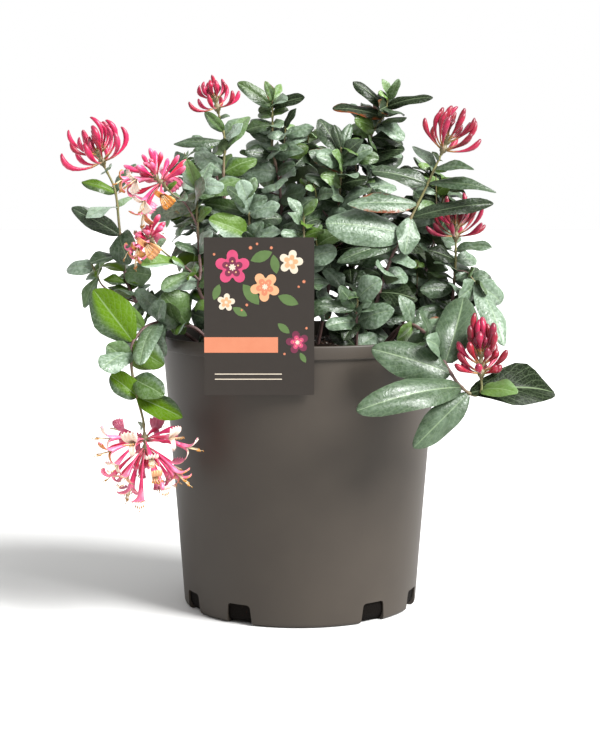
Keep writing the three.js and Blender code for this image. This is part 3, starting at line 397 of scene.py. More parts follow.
# Blooms: the flowering shoot that each one ends, and its whorls, each [florets, angle from the spike at the
# root, angle at the end, length, open].
blooms = [
  { "name": "bloom_far_left", "on": "stem_far_left", "whorls": [[6, 98, 22, 39, 0], [6, 74, 14, 32, 0]] },
  { "name": "bloom_left_droop", "on": "stem_left_droop",
    "whorls": [[6, 108, 86, 31, 1], [6, 56, 40, 34, 1]] },
  { "name": "bloom_left_upper", "on": "left_upper_shoot",
    "whorls": [[6, 92, 108, 27, 1], [6, 52, 66, 24, 1]] },
  { "name": "bloom_left_lower", "on": "left_lower_shoot", "whorls": [[6, 84, 104, 17, 1]] },
  { "name": "bloom_top_left", "on": "stem_top_left", "whorls": [[6, 100, 30, 27, 0], [6, 66, 20, 19, 0]] },
  { "name": "bloom_right_upper", "on": "stem_right_bloom",
    "whorls": [[6, 76, 26, 34, 0], [6, 44, 12, 33, 0]] },
  { "name": "bloom_right_mid", "on": "stem_right_mid", "whorls": [[6, 92, 46, 30, 0], [6, 60, 20, 26, 0]] },
  {
    "name": "bloom_right_front", "on": "stem_right_front",
    "whorls": [[6, 84, 52, 24, 0], [6, 60, 22, 27, 0], [6, 32, 8, 30, 0]],
  },
]

potSize = {
    "height": 229, "rimRadius": 117.5, "baseRadius": 98.5, "wall": 1.5, "floor": 2, "bandHeight": 10.7,
    "bandStep": 2.6, "rimThickness": 2.8, "cornerHeight": 6, "cornerInset": 4, "segments": 192,
    "notchAngles": [-63.5, -30, 37, 70.5], "notchInner": 88.3, "notchHeight": 17, "notchFoot": 24,
    "notchHead": 21, "notchRound": 3, "notchDepth": 20, "rimRounds": (1.4, 1.1),
}
soilSize = {
    "top": 215, "mound": 4, "bumps": 1.6, "gap": 0.35, "rings": 46, "segments": 150, "grain": 1.3,
    "chipDensity": 26000, "gritDensity": 3800, "seed": 4, "bare": 3,
    "chips": ((1.5, 0.8, 0.5), (5.5, 3.0, 1.8)), "grits": ((1.0, 1.0, 0.9), (2.6, 2.4, 2.0)),
}
labelSize = {
    "width": 85, "height": 122, "left": -74, "bottom": 191.5, "front": -118.9, "thickness": 0.9,
    "stakeLeft": -36, "stakeWidth": 12, "stakeFront": -101.5, "stakeThickness": 1.2, "stakeFoot": 178,
    "overRim": 0.35, "corner": 1.0, "ink": 0.12,
}
leafRule = {
    "lift": 58, "liftSpread": 40, "azimuthSpread": 50, "fold": 0.22, "wave": 0.16, "faceUp": 0.25,
    "faceLight": 1, "roll": 1.1, "widthShare": 0.5, "widthSpread": 0.12, "leastArch": 26, "archSpread": 50,
    "seed": 20711, "depths": [0, -8, 8, -16, 16, -24, 24], "shrinks": [1, 0.8, 0.62],
    "turnsAndTilts": [(0, 0), (18, 0), (-18, 0), (0, 16), (34, 6), (-34, 6), (0, -14), (50, 12), (-50, 12)],
    "shootTurn": 20,
}
spacing = {
    "leaves": 0.075, "ownLeaves": 0.045, "stem": 2.6, "ownStem": (0.6, 1.4), "bloom": 4.6, "pot": 4,
    "rimTop": 233, "soilTop": 221, "floor": 4,
}
# smaller leaves that grow between the main ones and from their axils
fillRule = {
    "seed": 9043, "share": 0.82, "shortest": 12, "longest": 30, "tight": 0.5, "gap": 9, "shrinks": [1, 0.72],
    "lowest": 222, "bareAbove": 285, "clearing": ((-5, 45), (-95, 70), (200, 250)),
}
twigRule = {
    "seed": 3301, "count": 3, "first": 1.0, "spacing": 0.75, "middle": 30, "reach": 40,
    "shape": [(0.3, 0.12), (0.55, 0.45), (0.68, 0.85)], "foot": 0.9, "tip": 0.6,
    "leaves": [(0.9, 25), (1.6, 26), (2.3, 22), (2.85, 13)],
    "stems": ["stem_back_left", "stem_back_centre", "stem_back_right", "stem_right_inner", "stem_tall",
              "stem_top_right", "stem_centre_right"],
}
lightCentre = np.array([0.0, 60.0, 0.0])
viewer = np.array([0.0, -1.0, 0.0])
upwards = np.array([0.0, 0.0, 1.0])


# Layout of the leaves: the rule that the solids follow, so that each finer leaf grows where its solid is

def routeOf(data, parent=None):
    points = [np.array(p, dtype=float) for p in data["route"]]
    if parent:
        points.insert(0, pointAt(parent, data["from"]))
    return SimpleNamespace(points=points, last=len(points) - 1, foot=data["foot"], tip=data["tip"],
                           nodes=data["nodes"], name=data.get("name"), flowers=data.get("flowers", False))


def pointAt(shoot, at):
    points = shoot.points
    i = min(int(at), shoot.last - 1)
    w = at - i
    before = points[i - 1] if i > 0 else 2 * points[0] - points[1]
    after = points[i + 2] if i + 2 <= shoot.last else 2 * points[-1] - points[-2]
    start = 0.5 * (points[i + 1] - before)
    end = 0.5 * (after - points[i])
    step = points[i + 1] - points[i]
    return points[i] + start * w + (3 * step - 2 * start - end) * w ** 2 + (start + end - 2 * step) * w ** 3


def frameAt(shoot, at):
    ahead = pointAt(shoot, min(shoot.last, at + 0.02))
    tangent = unit(ahead - pointAt(shoot, max(0, at - 0.02)))
    front = acrossTo(viewer, tangent)
    return SimpleNamespace(point=pointAt(shoot, at), tangent=tangent, front=front,
                           side=np.cross(tangent, front))


def radiusAt(shoot, at):
    return shoot.foot + (shoot.tip - shoot.foot) * at / shoot.last


def lengthOf(shoot):
    path = np.array([pointAt(shoot, shoot.last * i / 200) for i in range(201)])
    return np.linalg.norm(np.diff(path, axis=0), axis=1).sum()


def around(frame, degrees):
    angle = math.radians(degrees)
    return frame.side * math.cos(angle) + frame.front * math.sin(angle)


def azimuthOf(frame, direction):
    return math.degrees(math.atan2(np.dot(direction, frame.front), np.dot(direction, frame.side)))


def leafOutline(u):
    return np.maximum(0, np.sin(np.pi * u ** 0.95)) ** 0.6


def leafPoints(leaf, u, v):
    bend = leaf.arch * u
    radius = leaf.length / leaf.arch
    half = leaf.width / 2 * leafOutline(u)
    ripple = leaf.wave * v * v * np.sin(8 * u + leaf.phase + 1.2 * v)
    rise = radius + half * (leaf.fold * np.abs(v) + ripple)
    return (leaf.base + np.outer(rise * np.sin(bend), leaf.forward)
            + np.outer(rise * np.cos(bend) - radius, leaf.up) + np.outer(v * half, leaf.across))


def lightAt(point):
    out = unit(np.array([0.5 * (point[0] - lightCentre[0]), point[1] - lightCentre[1], 0]))
    return np.array([0.85 * out[0], 0.85 * out[1], 0.42])


def leafForm(base, forward, hint, length, width, arch, traits):
    up = acrossTo(hint, forward)
    return SimpleNamespace(
        base=base, forward=forward, up=up, across=np.cross(up, forward), length=length, width=width,
        arch=arch, fold=leafRule["fold"] * (0.5 + traits[3]), wave=leafRule["wave"] * (0.4 + 1.2 * traits[4]),
        phase=6.28 * traits[2], traits=traits)


def ruleLeaf(frame, azimuth, length, traits, turn, tilt, shrink):
    lift = math.radians(leafRule["lift"] + leafRule["liftSpread"] * (traits[1] - 0.5) + tilt)
    out = around(frame, azimuth + turn)
    forward = frame.tangent * math.cos(lift) + out * math.sin(lift)
    natural = frame.tangent * math.sin(lift) - out * math.cos(lift)
    hint = (natural * leafRule["faceUp"] + lightAt(frame.point) * leafRule["faceLight"]
            + np.cross(forward, natural) * leafRule["roll"] * (traits[2] - 0.5))
    size = length * shrink
    width = size * (leafRule["widthShare"] + leafRule["widthSpread"] * traits[0])
    arch = math.radians(leafRule["leastArch"] + leafRule["archSpread"] * traits[3])
    return leafForm(frame.point, forward, hint, size, width, arch, traits)


def placedLeaf(frame, place, traits, depth, shrink):
    x, y, z, width = place
    chord = (np.array([x, y + depth, z]) - frame.point) * shrink
    reach = np.linalg.norm(chord)
    chord = chord / reach
    arch = math.radians(18 + 36 * traits[3])
    hint = lightAt(frame.point) + frame.side * 0.5 * (traits[2] - 0.5) + upwards * 0.15
    normal = acrossTo(hint, chord)
    forward = chord * math.cos(arch / 2) + normal * math.sin(arch / 2)
    length = reach * (arch / 2) / math.sin(arch / 2)
    leaf = leafForm(frame.point, forward, normal, length, width * shrink, arch, traits)
    leaf.place = tuple(place[:3])
    return leaf


netRows = np.array([0.22, 0.35, 0.48, 0.61, 0.74, 0.87, 0.99])
netColumns = np.array([-0.92, -0.46, 0, 0.46, 0.92])
netU = np.repeat(netRows, len(netColumns))
netV = np.tile(netColumns, len(netRows))
room = SimpleNamespace(stemPoints=[], stemRadii=[], stemShoots=[], bloomPoints=[], leaves=[])


def inTheWay(points):
    x, y, z = points.T
    radius = np.hypot(x, y)
    slant = (potSize["rimRadius"] - potSize["baseRadius"]) / potSize["height"]
    wall = potSize["baseRadius"] + slant * z + spacing["pot"]
    low = z < spacing["floor"]
    inPot = (z < spacing["soilTop"]) & (radius < wall)
    rimOuter = potSize["rimRadius"] + spacing["pot"]
    onRim = (z < spacing["rimTop"]) & (radius > potSize["rimRadius"] - 8) & (radius < rimOuter)
    inCard = ((x > labelSize["left"] - 3) & (x < labelSize["left"] + labelSize["width"] + 3)
              & (y > labelSize["front"] - 5) & (y < labelSize["stakeFront"] + 4)
              & (z > labelSize["bottom"] - 5) & (z < labelSize["bottom"] + labelSize["height"] + 5))
    return bool((low | inPot | onRim | inCard).any())


def distances(first, second):
    return np.sqrt(((first[:, None, :] - second[None, :, :]) ** 2).sum(axis=2))


def hasRoom(leaf, net, centre, shoot, node, tight):
    reach = 0.55 * leaf.length + 2
    if inTheWay(net):
        return False
    near = np.linalg.norm(room.stemPoints - centre, axis=1) <= reach + 8
    if near.any():
        own = room.stemShoots[near] == id(shoot)
        gaps = np.full((len(net), near.sum()), spacing["stem"])
        gaps[:, own] = spacing["ownStem"][1]
        gaps[:len(netColumns), own] = spacing["ownStem"][0]
        if (distances(net, room.stemPoints[near]) < gaps + room.stemRadii[near]).any():
            return False
    near = np.linalg.norm(room.bloomPoints - centre, axis=1) <= reach + 8
    outer = net[len(netColumns):]
    if near.any() and (distances(outer, room.bloomPoints[near]) < spacing["bloom"]).any():
        return False
    for other in room.leaves:
        if np.linalg.norm(other.centre - centre) > reach + other.reach + 8:
            continue
        share = spacing["ownLeaves"] if other.shoot is shoot else spacing["leaves"]
        start = 2 * len(netColumns) if other.node is node else 0
        limit = share * tight * (leaf.length + other.length)
        if (distances(net[start:], other.net[start:]) < limit).any():
            return False
    return True


def settle(tries, shoot, node, tight=1.0):
    for leaf in tries:
        net = leafPoints(leaf, netU, netV)
        centre = leafPoints(leaf, np.array([0.55]), np.array([0.0]))[0]
        if hasRoom(leaf, net, centre, shoot, node, tight):
            room.leaves.append(SimpleNamespace(net=net, shoot=shoot, node=node, length=leaf.length,
                                               centre=centre, reach=0.55 * leaf.length + 2))
            node.leaves.append(leaf)
            return


def layOut(shoots):
    draw = seededDraw(leafRule["seed"])
    jobs = []
    for shootIndex, shoot in enumerate(shoots):
        shoot.grown = []
        for nodeIndex, (at, *leaves) in enumerate(shoot.nodes):
            frame = frameAt(shoot, at)
            known = next((leaf for leaf in leaves if isinstance(leaf, list)), None)
            if known:
                start = azimuthOf(frame, np.array(known[:3]) - frame.point)
            else:
                spread = leafRule["azimuthSpread"] * (next(draw) - 0.5)
                start = 90 * (nodeIndex % 2) + spread + leafRule["shootTurn"] * shootIndex
            node = SimpleNamespace(at=at, frame=frame, start=start, leaves=[])
            shoot.grown.append(node)
            for index, leaf in enumerate(leaves):
                traits = [next(draw) for _ in range(5)]
                jobs.append((leaf, node, shoot, traits, start + 180 * index))
    for leaf, node, shoot, traits, _ in jobs:
        if isinstance(leaf, list):
            settle([placedLeaf(node.frame, leaf, traits, depth, shrink)
                    for shrink in leafRule["shrinks"][:2] for depth in leafRule["depths"]], shoot, node)
    for leaf, node, shoot, traits, azimuth in jobs:
        if not isinstance(leaf, list):
            settle(ruleTries(node.frame, azimuth, leaf, traits, leafRule["shrinks"]), shoot, node)


def ruleTries(frame, azimuth, length, traits, shrinks):
    return [ruleLeaf(frame, azimuth, length, traits, turn, tilt, shrink)
            for shrink in shrinks for turn, tilt in leafRule["turnsAndTilts"]]


def growTwigs(group, data, draw):
    # side shoots that carry the smaller leaves of the stems that fill the vine
    main = group[0]
    for step in range(twigRule["count"] * (data["name"] in twigRule["stems"])):
        at = twigRule["first"] + step * twigRule["spacing"] + 0.2 * next(draw)
        frame = frameAt(main, at)
        turn = (1 if step % 2 else -1) * (60 + 50 * next(draw))
        outwards = math.atan2(frame.point[1] - twigRule["middle"], frame.point[0])
        angle = outwards + math.radians(turn)
        out = np.array([math.cos(angle), math.sin(angle), 0])
        reach = twigRule["reach"] * (0.8 + 0.4 * next(draw))
        route = [frame.point + reach * (out * share + upwards * rise) for share, rise in twigRule["shape"]]
        twig = routeOf({**twigRule, "from": at, "route": route, "nodes": []}, main)
        group.append(twig)
        twig.grown = []
        for place, length in twigRule["leaves"]:
            start = 90 * len(twig.grown) + 30
            node = SimpleNamespace(at=place, frame=frameAt(twig, place), start=start, leaves=[])
            twig.grown.append(node)
            for index in (0, 1):
                traits = [next(draw) for _ in range(5)]
                size = length * (0.85 + 0.3 * next(draw))
                tries = ruleTries(node.frame, start + 180 * index, size, traits, fillRule["shrinks"])
                settle(tries, twig, node, fillRule["tight"])


def fillIn(shoots):
    draw = seededDraw(fillRule["seed"])
    for shoot in shoots:
        main = list(shoot.grown)
        marks = []
        for node, after in zip(main, main[1:] + [None]):
            lengths = [leaf.length for leaf in node.leaves] or [fillRule["longest"]]
            size = min(fillRule["longest"], fillRule["share"] * sum(lengths) / len(lengths))
            marks.append((node.at, node.start + 90, size))
            if after and np.linalg.norm(after.frame.point - node.frame.point) > fillRule["gap"]:
                marks.append(((node.at + after.at) / 2, node.start + 45, size * 1.1))
        for at, start, size in marks:
            frame = frameAt(shoot, at)
            isBare = shoot.flowers and frame.point[2] > fillRule["bareAbove"]
            inGap = all(low < p < high for p, (low, high) in zip(frame.point, fillRule["clearing"]))
            if size < fillRule["shortest"] or frame.point[2] < fillRule["lowest"] or isBare or inGap:
                continue
            node = SimpleNamespace(at=at, frame=frame, start=start, leaves=[])
            shoot.grown.append(node)
            for index in (0, 1):
                traits = [next(draw) for _ in range(5)]
                length = size * (0.85 + 0.3 * next(draw))
                tries = ruleTries(frame, start + 180 * index, length, traits, fillRule["shrinks"])
                settle(tries, shoot, node, fillRule["tight"])


# The spikes of florets, each floret a line that curves away from its root

bloomForm = {"whorlHeight": 4.2, "spacer": 3.4, "radius": 3.4, "foot": 2.1, "tip": 6, "gap": 0.4, "lip": 14}


def floretLine(root, axis, out, start, end, length):
    first, last = math.radians(start), math.radians(end)
    return SimpleNamespace(
        foot=root, forward=axis * math.cos(first) + out * math.sin(first),
        up=out * math.cos(first) - axis * math.sin(first), length=length, arch=first - last)


def alongFloret(line, s):
    bend = line.arch * s
    radius = line.length / line.arch
    return (line.foot + line.forward * radius * math.sin(bend) + line.up * radius * (math.cos(bend) - 1),
            line.up * math.cos(bend) + line.forward * math.sin(bend))


def bloomParts(bloom, shoot):
    frame = frameAt(shoot, shoot.last)
    axis = frame.tangent
    start = frame.point + axis * bloomForm["gap"]
    out = acrossTo(np.array([0.3, -1, 0.2]), axis)
    side = np.cross(axis, out)
    height = 2.4
    florets, levels = [], [(0, bloomForm["foot"])]
    for index, (count, first, last, length, isOpen) in enumerate(bloom["whorls"]):
        for k in range(count):
            angle = math.radians(60 * k + 30 * index + 30)
            away = out * math.cos(angle) + side * math.sin(angle)
            root = (start + axis * (height + bloomForm["whorlHeight"] / 2)
                    + away * bloomForm["radius"] * 0.87)
            vary = 1 - 0.14 * ((k * 5 + index * 3) % 4) / 3
            swing = 8 * (((k * 7 + index * 2) % 5) / 4 - 0.5)
            line = floretLine(root, axis, away, first + swing, last + swing, length * vary)
            florets.append(SimpleNamespace(line=line, open=isOpen, whorl=index, number=k))
        levels += [(height, bloomForm["radius"]), (height + bloomForm["whorlHeight"], bloomForm["radius"])]
        height += bloomForm["whorlHeight"] + bloomForm["spacer"]
    levels.append((height + bloomForm["tip"] - bloomForm["spacer"], 0.6))
    return SimpleNamespace(start=start, axis=axis, out=out, side=side, florets=florets, levels=levels,
                           top=height)


stemShoots = []
for data in stems:
    main = routeOf(data)
    stemShoots.append([main] + [routeOf(branch, main) for branch in data["branches"]])
allShoots = [shoot for group in stemShoots for shoot in group]
for shoot in allShoots:
    steps = math.ceil(lengthOf(shoot) / 4)
    for i in range(steps + 1):
        at = shoot.last * i / steps
        room.stemPoints.append(pointAt(shoot, at))
        room.stemRadii.append(radiusAt(shoot, at))
        room.stemShoots.append(id(shoot))
bloomSprays = []
flowering = {shoot.name: shoot for shoot in allShoots if shoot.name}
for data, group in zip(stems, stemShoots):
    flowering[data["name"]] = group[0]
for bloom in blooms:
    spray = bloomParts(bloom, flowering[bloom["on"]])
    bloomSprays.append(spray)
    for floret in spray.florets:
        for i in range(7):
            room.bloomPoints.append(alongFloret(floret.line, 0.1 + 0.15 * i)[0])
        end, outer = alongFloret(floret.line, 1)
        for share in (0.5, 1):
            room.bloomPoints.append(end + outer * bloomForm["lip"] * floret.open * share)
room.stemPoints = np.array(room.stemPoints)
room.stemRadii = np.array(room.stemRadii)
room.stemShoots = np.array(room.stemShoots)
room.bloomPoints = np.array(room.bloomPoints)
layOut(allShoots)
mainLeaves = len(room.leaves)
fillIn(allShoots)
twigDraw = seededDraw(twigRule["seed"])
for data, group in zip(stems, stemShoots):
    growTwigs(group, data, twigDraw)
print("leaves laid out:", mainLeaves, "and", len(room.leaves) - mainLeaves, "smaller ones")


# Materials

leafSkin = {
    "veinPairs": 7.0, "net": 3.6, "mottle": (8.0, 3), "speckle": (2.5, 4), "relief": 0.5,
    "greens": [(0.1, 0.6, "#2b3c26"), (0.6, 1.1, "#556753"), (1.15, 1.6, "#7d8e80")], "deepest": "#10190a",
}


def makeLeafSkin():
    # Living honeysuckle leaf, grown: leathery and waxy, blistered between sunken netted veins. Its pale
    # speckles are partly its waxy bloom and partly painted highlight of its sheen, its dark speckles are
    # painted shade in the dips between blisters, and its lime is painted light shining through it. The net
    # and the speckles are drawn coarser than real, to show.
    material, add, shader, place = newMaterial("livingLeaf", 0.4, 1.46, Specular_IOR_Level=0.3)
    names = ("leafU", "leafV", "leafSide", "tone", "lime", "fresh", "worn", "scorch")
    u, v, side, tone, lime, fresh, worn, scorch = (
        add("ShaderNodeAttribute", attribute_name=name, output="Fac") for name in names)
    mottle, speckle = (add(noiseNode, place, 1 / (leafSkin[name][0] * mm), leafSkin[name][1])
                    for name in ("mottle", "speckle"))
    away = add(mathNode, v, operation="ABSOLUTE")
    rib = add(rangeNode, away, 0.01, 0.07, 1.0, 0.0, **smoothly)
    run = add(mathNode, away, -0.45, u, operation="MULTIPLY_ADD")
    run = add(mathNode, speckle, 0.07, run, operation="MULTIPLY_ADD")
    run = add(mathNode, run, leafSkin["veinPairs"], operation="MULTIPLY")
    wave = add(mathNode, run, 0.5, operation="PINGPONG")
    vein = add(rangeNode, wave, 0.0, 0.08, 1.0, 0.0, **smoothly)
    net = add("ShaderNodeTexVoronoi", place, 1 / (leafSkin["net"] * mm), feature="DISTANCE_TO_EDGE")

    share = add(mathNode, mottle, 0.5, operation="MULTIPLY")
    share = add(mathNode, tone, 0.75, share, operation="MULTIPLY_ADD")
    layers = [(add(rangeNode, share, low, high, **smoothly), colour)
              for low, high, colour in leafSkin["greens"]]
    # pale speckles: partly the leaf's waxy bloom, partly painted highlight; dark speckles below: painted
    # shade
    sheenAndBloom = add(rangeNode, speckle, 0.44, 0.64, 0.0, 0.28, **smoothly)
    sheenAndBloom = add(mathNode, sheenAndBloom, add(mathNode, tone, worn, operation="MULTIPLY"), operation="MULTIPLY")
    shadeSpeckles = add(mathNode, add(rangeNode, speckle, 0.48, 0.36, 0.0, 0.18, **smoothly), worn, operation="MULTIPLY")
    # lime: painted light, the yellow-green glow of a leaf lit through from behind
    lime = add(mathNode, lime, add(rangeNode, v, 0.8, 0.25, 0.05, 1.0, **smoothly), operation="MULTIPLY")
    lines = add(mathNode, add(mathNode, vein, 0.17, operation="MULTIPLY"),
                add(rangeNode, net, 0.0, 0.07, 0.1, 0.0, **smoothly), operation="MAXIMUM")
    lines = add(mathNode, lines, add(mathNode, rib, 0.4, operation="MULTIPLY"), operation="MAXIMUM")
    layers += [(fresh, "#4f6c22"), (sheenAndBloom, "#8a968b"), (shadeSpeckles, "#1d2818"), (lime, "#44600a"),
               (lines, "#829470")]
    green = linear(leafSkin["deepest"])
    for amount, colour in layers:
        green = add(mixNode, amount, green, linear(colour), **inColour)

    share = add(mathNode, tone, 0.4, operation="MULTIPLY")
    share = add(mathNode, mottle, 0.6, share, operation="MULTIPLY_ADD")
    under = linear("#253019")
    for amount, colour in ((share, "#5f6e4f"), (add(mathNode, fresh, 0.6, operation="MULTIPLY"), "#648134"),
                           (lime, "#587018")):
        under = add(mixNode, amount, under, linear(colour), **inColour)
    green = add(mixNode, add(rangeNode, side, -0.05, 0.05, **smoothly), under, green, **inColour)
    edge = add(mathNode, mottle, 1.6, away, operation="MULTIPLY_ADD")
    burnt = add(mathNode, add(rangeNode, edge, 1.6, 1.95, **smoothly), scorch, operation="MULTIPLY")
    green = add(mixNode, burnt, green, linear("#5f2d10"), **inColour)

    quilt = add(mathNode, add(mathNode, wave, 2.0, operation="MULTIPLY"), 0.6, operation="POWER")
    height = add(mathNode, rib, -0.5, operation="MULTIPLY")
    height = add(mathNode, quilt, 0.3, height, operation="MULTIPLY_ADD")
    height = add(mathNode, add(rangeNode, net, 0.0, 0.35, **smoothly), 0.6, height, operation="MULTIPLY_ADD")
    height = add(mathNode, mottle, 1.2, height, operation="MULTIPLY_ADD")
    strength = add(mathNode, worn, 0.24, 0.18, operation="MULTIPLY_ADD")
    dress(shader, green, height, leafSkin["relief"], strength)
    gloss = add(rangeNode, speckle, 0.3, 0.75, 0.28, 0.52, **smoothly)
    sheen = add(mathNode, lime, -0.28, add(rangeNode, tone, -0.4, 0.3, 0.06, 0.38, **smoothly),
                operation="MULTIPLY_ADD")
    material.node_tree.links.new(gloss, shader.inputs["Roughness"])
    material.node_tree.links.new(sheen, shader.inputs["Specular IOR Level"])
    return material


def makeBark():
    # Young woody stem, grown: green when new, ripening to a pinkish purple-brown skin with fine lengthwise
    # cracks, which are drawn coarser than real
    material, add, shader, place = newMaterial("greenwood", 0.55)
    patch, cracks = (add(noiseNode, place, 1 / (size * mm), detail) for size, detail in ((4.0, 3), (0.8, 2)))
    ripe, new = (add(mixNode, patch, linear(first), linear(second), **inColour)
                 for first, second in (("#3d2a29", "#6e524d"), ("#5a6733", "#6d593d")))
    age = add("ShaderNodeAttribute", attribute_name="stemAge", output="Fac")
    age = add(rangeNode, age, 0.6, 1.0, **smoothly)
    dress(shader, add(mixNode, age, ripe, new, **inColour), cracks, 0.15)
    return material


def makePetal(name, tints):
    # Tubular petal, grown: soft satin with fine short hairs that pale its edges, and the light scattered just
    # under the skin. Its crinkles are drawn coarser than real.
    material, add, shader, place = newMaterial(
        name, 0.36, 1.42, Subsurface_Weight=0.1, Subsurface_Scale=0.002, Sheen_Weight=0.18,
        Sheen_Roughness=0.35)
    s, organ, ripeness, pinkness, warmth = (
        add("ShaderNodeAttribute", attribute_name=name, output="Fac")
        for name in ("floretS", "organ", "ripeness", "pinkness", "warmth"))
    red, pink, pale, unripe, foot, tip = (linear(colour) for colour in tints)
    patch, crinkle = (add(noiseNode, place, 1 / (size * mm), 2) for size in (3.0, 1.2))
    # each layer: the value that it follows, from and to, how much of it there is at most, and its colour
    body = red
    for value, low, high, most, tint in ((pinkness, 0.0, 0.6, 1.0, pink), (pinkness, 0.75, 1.1, 1.0, pale)):
        body = add(mixNode, add(rangeNode, value, low, high, 0.0, most, **smoothly), body, tint, **inColour)
    body = add(mixNode, ripeness, unripe, body, **inColour)
    for value, low, high, most, tint in ((patch, 0.45, 0.8, 0.45, pink), (s, 0.8, 1.02, 0.6, tip)):
        body = add(mixNode, add(rangeNode, value, low, high, 0.0, most, **smoothly), body, tint, **inColour)
    body = add(mixNode, add(rangeNode, s, 0.06, 0.36, **smoothly), foot, body, **inColour)
    inside = add(mixNode, add(rangeNode, warmth, 0.3, 0.7, **smoothly), linear("#d7c4b5"), linear("#b87530"),
                 **inColour)
    # the inside of the lips, then the stamens, then the anthers
    for low, colour in ((0.4, inside), (1.4, linear("#d0bc99")), (2.4, linear("#956319"))):
        body = add(mixNode, add(rangeNode, organ, low, low + 0.5, **smoothly), body, colour, **inColour)
    dress(shader, body, crinkle, 0.12, 0.5)
    return material


livingLeaf = makeLeafSkin()
greenwood = makeBark()
closedPetal = makePetal("budPetal", ("#86071a", "#ad1645", "#c74a70", "#31050f", "#967343", "#4f0d21"))
openPetal = makePetal("openPetal", ("#a6102f", "#bf2b5e", "#d68ca4", "#8e112e", "#b2555e", "#cb7a93"))
print("materials made")


# Trees that grow what follows a line

def newTree(name, inputs):
    tree = bpy.data.node_groups.new(name, "GeometryNodeTree")
    tree.interface.new_socket("Geometry", in_out="INPUT", socket_type="NodeSocketGeometry")
    for socket, (kind, value) in inputs.items():
        item = tree.interface.new_socket(socket, in_out="INPUT", socket_type=kind)
        if value is not None:
            item.default_value = value
    tree.interface.new_socket("Geometry", in_out="OUTPUT", socket_type="NodeSocketGeometry")
    add = partial(addNode, tree)
    return tree, add, add("NodeGroupInput").node.outputs


def applyTree(piece, tree, values, dropped=()):
    modifier = piece.modifiers.new("grown", "NODES")
    modifier.node_group = tree
    for item in tree.interface.items_tree:
        if item.in_out == "INPUT" and item.name in values:
            modifier[item.identifier] = values[item.name]
    bakeModifiers(piece)
    for name in dropped:
        if name in piece.data.attributes:
            piece.data.attributes.remove(piece.data.attributes[name])


# The place of a point s along, x across and z out on a part that bends in an arc from its foot
def alongArc(add, s, x, z):
    arch, length = (add(namedValue, name) for name in ("arch", "length"))
    bend = add(mathNode, arch, s, operation="MULTIPLY")
    radius = add(mathNode, length, arch, operation="DIVIDE")
    rise = add(mathNode, radius, z, operation="ADD")
    ahead = add(mathNode, rise, add(mathNode, bend, operation="SINE"), operation="MULTIPLY")
    back = add(mathNode, radius, -1.0, operation="MULTIPLY")
    out = add(mathNode, rise, add(mathNode, bend, operation="COSINE"), back, operation="MULTIPLY_ADD")
    place = add(namedValue, "foot", data_type="FLOAT_VECTOR")
    for name, amount in (("forward", ahead), ("up", out), ("across", x)):
        direction = add(namedValue, name, data_type="FLOAT_VECTOR")
        place = add("ShaderNodeVectorMath", direction, amount, place, operation="MULTIPLY_ADD")
    return place


def growTube(add, lines, sides, material):
    section = add("GeometryNodeCurvePrimitiveCircle", sides, 1.0)
    curve = add("GeometryNodeMeshToCurve", lines)
    tube = add("GeometryNodeCurveToMesh", curve, section, add(namedValue, "stemRadius"), True)
    return add("GeometryNodeSetMaterial", {"Geometry": tube, "Material": material})


def growCopies(add, points, copied, place, material):
    original = add("GeometryNodeObjectInfo", copied, output="Geometry")
    copies = add("GeometryNodeInstanceOnPoints", {"Points": points, "Instance": original})
    real = add("GeometryNodeRealizeInstances", copies)
    bent = add("GeometryNodeSetPosition", {"Geometry": real, "Position": place})
    return add("GeometryNodeSetMaterial", {"Geometry": bent, "Material": material})


def endTree(add, *parts):
    joined = add("GeometryNodeJoinGeometry")
    for part in parts:
        joined.id_data.links.new(part, joined.node.inputs[0])
    add("NodeGroupOutput", add("GeometryNodeSetShadeSmooth", add("GeometryNodeRealizeInstances", joined)))


class Guide:
    # the lines and points that a tree grows things on, with the values that each of them carries
    def __init__(self):
        self.points, self.edges, self.values = [], [], []

    def add(self, place, **values):
        self.points.append(place * mm)
        self.values.append(values)
        return len(self.points) - 1

    def addLine(self, places, **lists):
        for i, place in enumerate(places):
            index = self.add(place, **{name: values[i] for name, values in lists.items()})
            if i:
                self.edges.append((index - 1, index))

    def addArc(self, form, **values):
        self.add(form.foot, foot=form.foot * mm, forward=form.forward, up=form.up,
                 across=np.cross(form.up, form.forward), length=form.length * mm, arch=form.arch, **values)

    def piece(self, name, scalars):
        mesh = bpy.data.meshes.new(name)
        mesh.from_pydata([tuple(p) for p in self.points], self.edges, [])
        for scalar in scalars:
            storeValues(mesh, scalar, [values.get(scalar, 0.0) for values in self.values])
        for vector in ("foot", "forward", "up", "across"):
            storeValues(mesh, vector, [values.get(vector, np.zeros(3)) for values in self.values])
        return newPiece(name, mesh)


arcNames = ["foot", "forward", "up", "across", "length", "arch", "kind", "stemRadius"]


# Leafy stems

bladeForm = {
    "broadRows": [0.03, 0.09, 0.17, 0.27, 0.38, 0.5, 0.62, 0.73, 0.83, 0.91, 0.965, 0.99],
    "broadColumns": [1, 0.6, 0.18, 0, -0.18, -0.6, -1],
    "slimRows": [0.03, 0.12, 0.28, 0.48, 0.68, 0.85, 0.96], "slimColumns": [1, 0.5, 0, -0.5, -1],
    "broadLength": 19,
    "thickness": 0.45, "groove": 0.3, "rib": 0.5, "stalk": 0.8, "widest": 0.98, "widening": 1.14,
    "waviness": 1.3,
}
stemForm = {"sides": 9, "step": 2.5, "girth": 0.8, "swelling": 0.5, "swellingReach": 2.2}


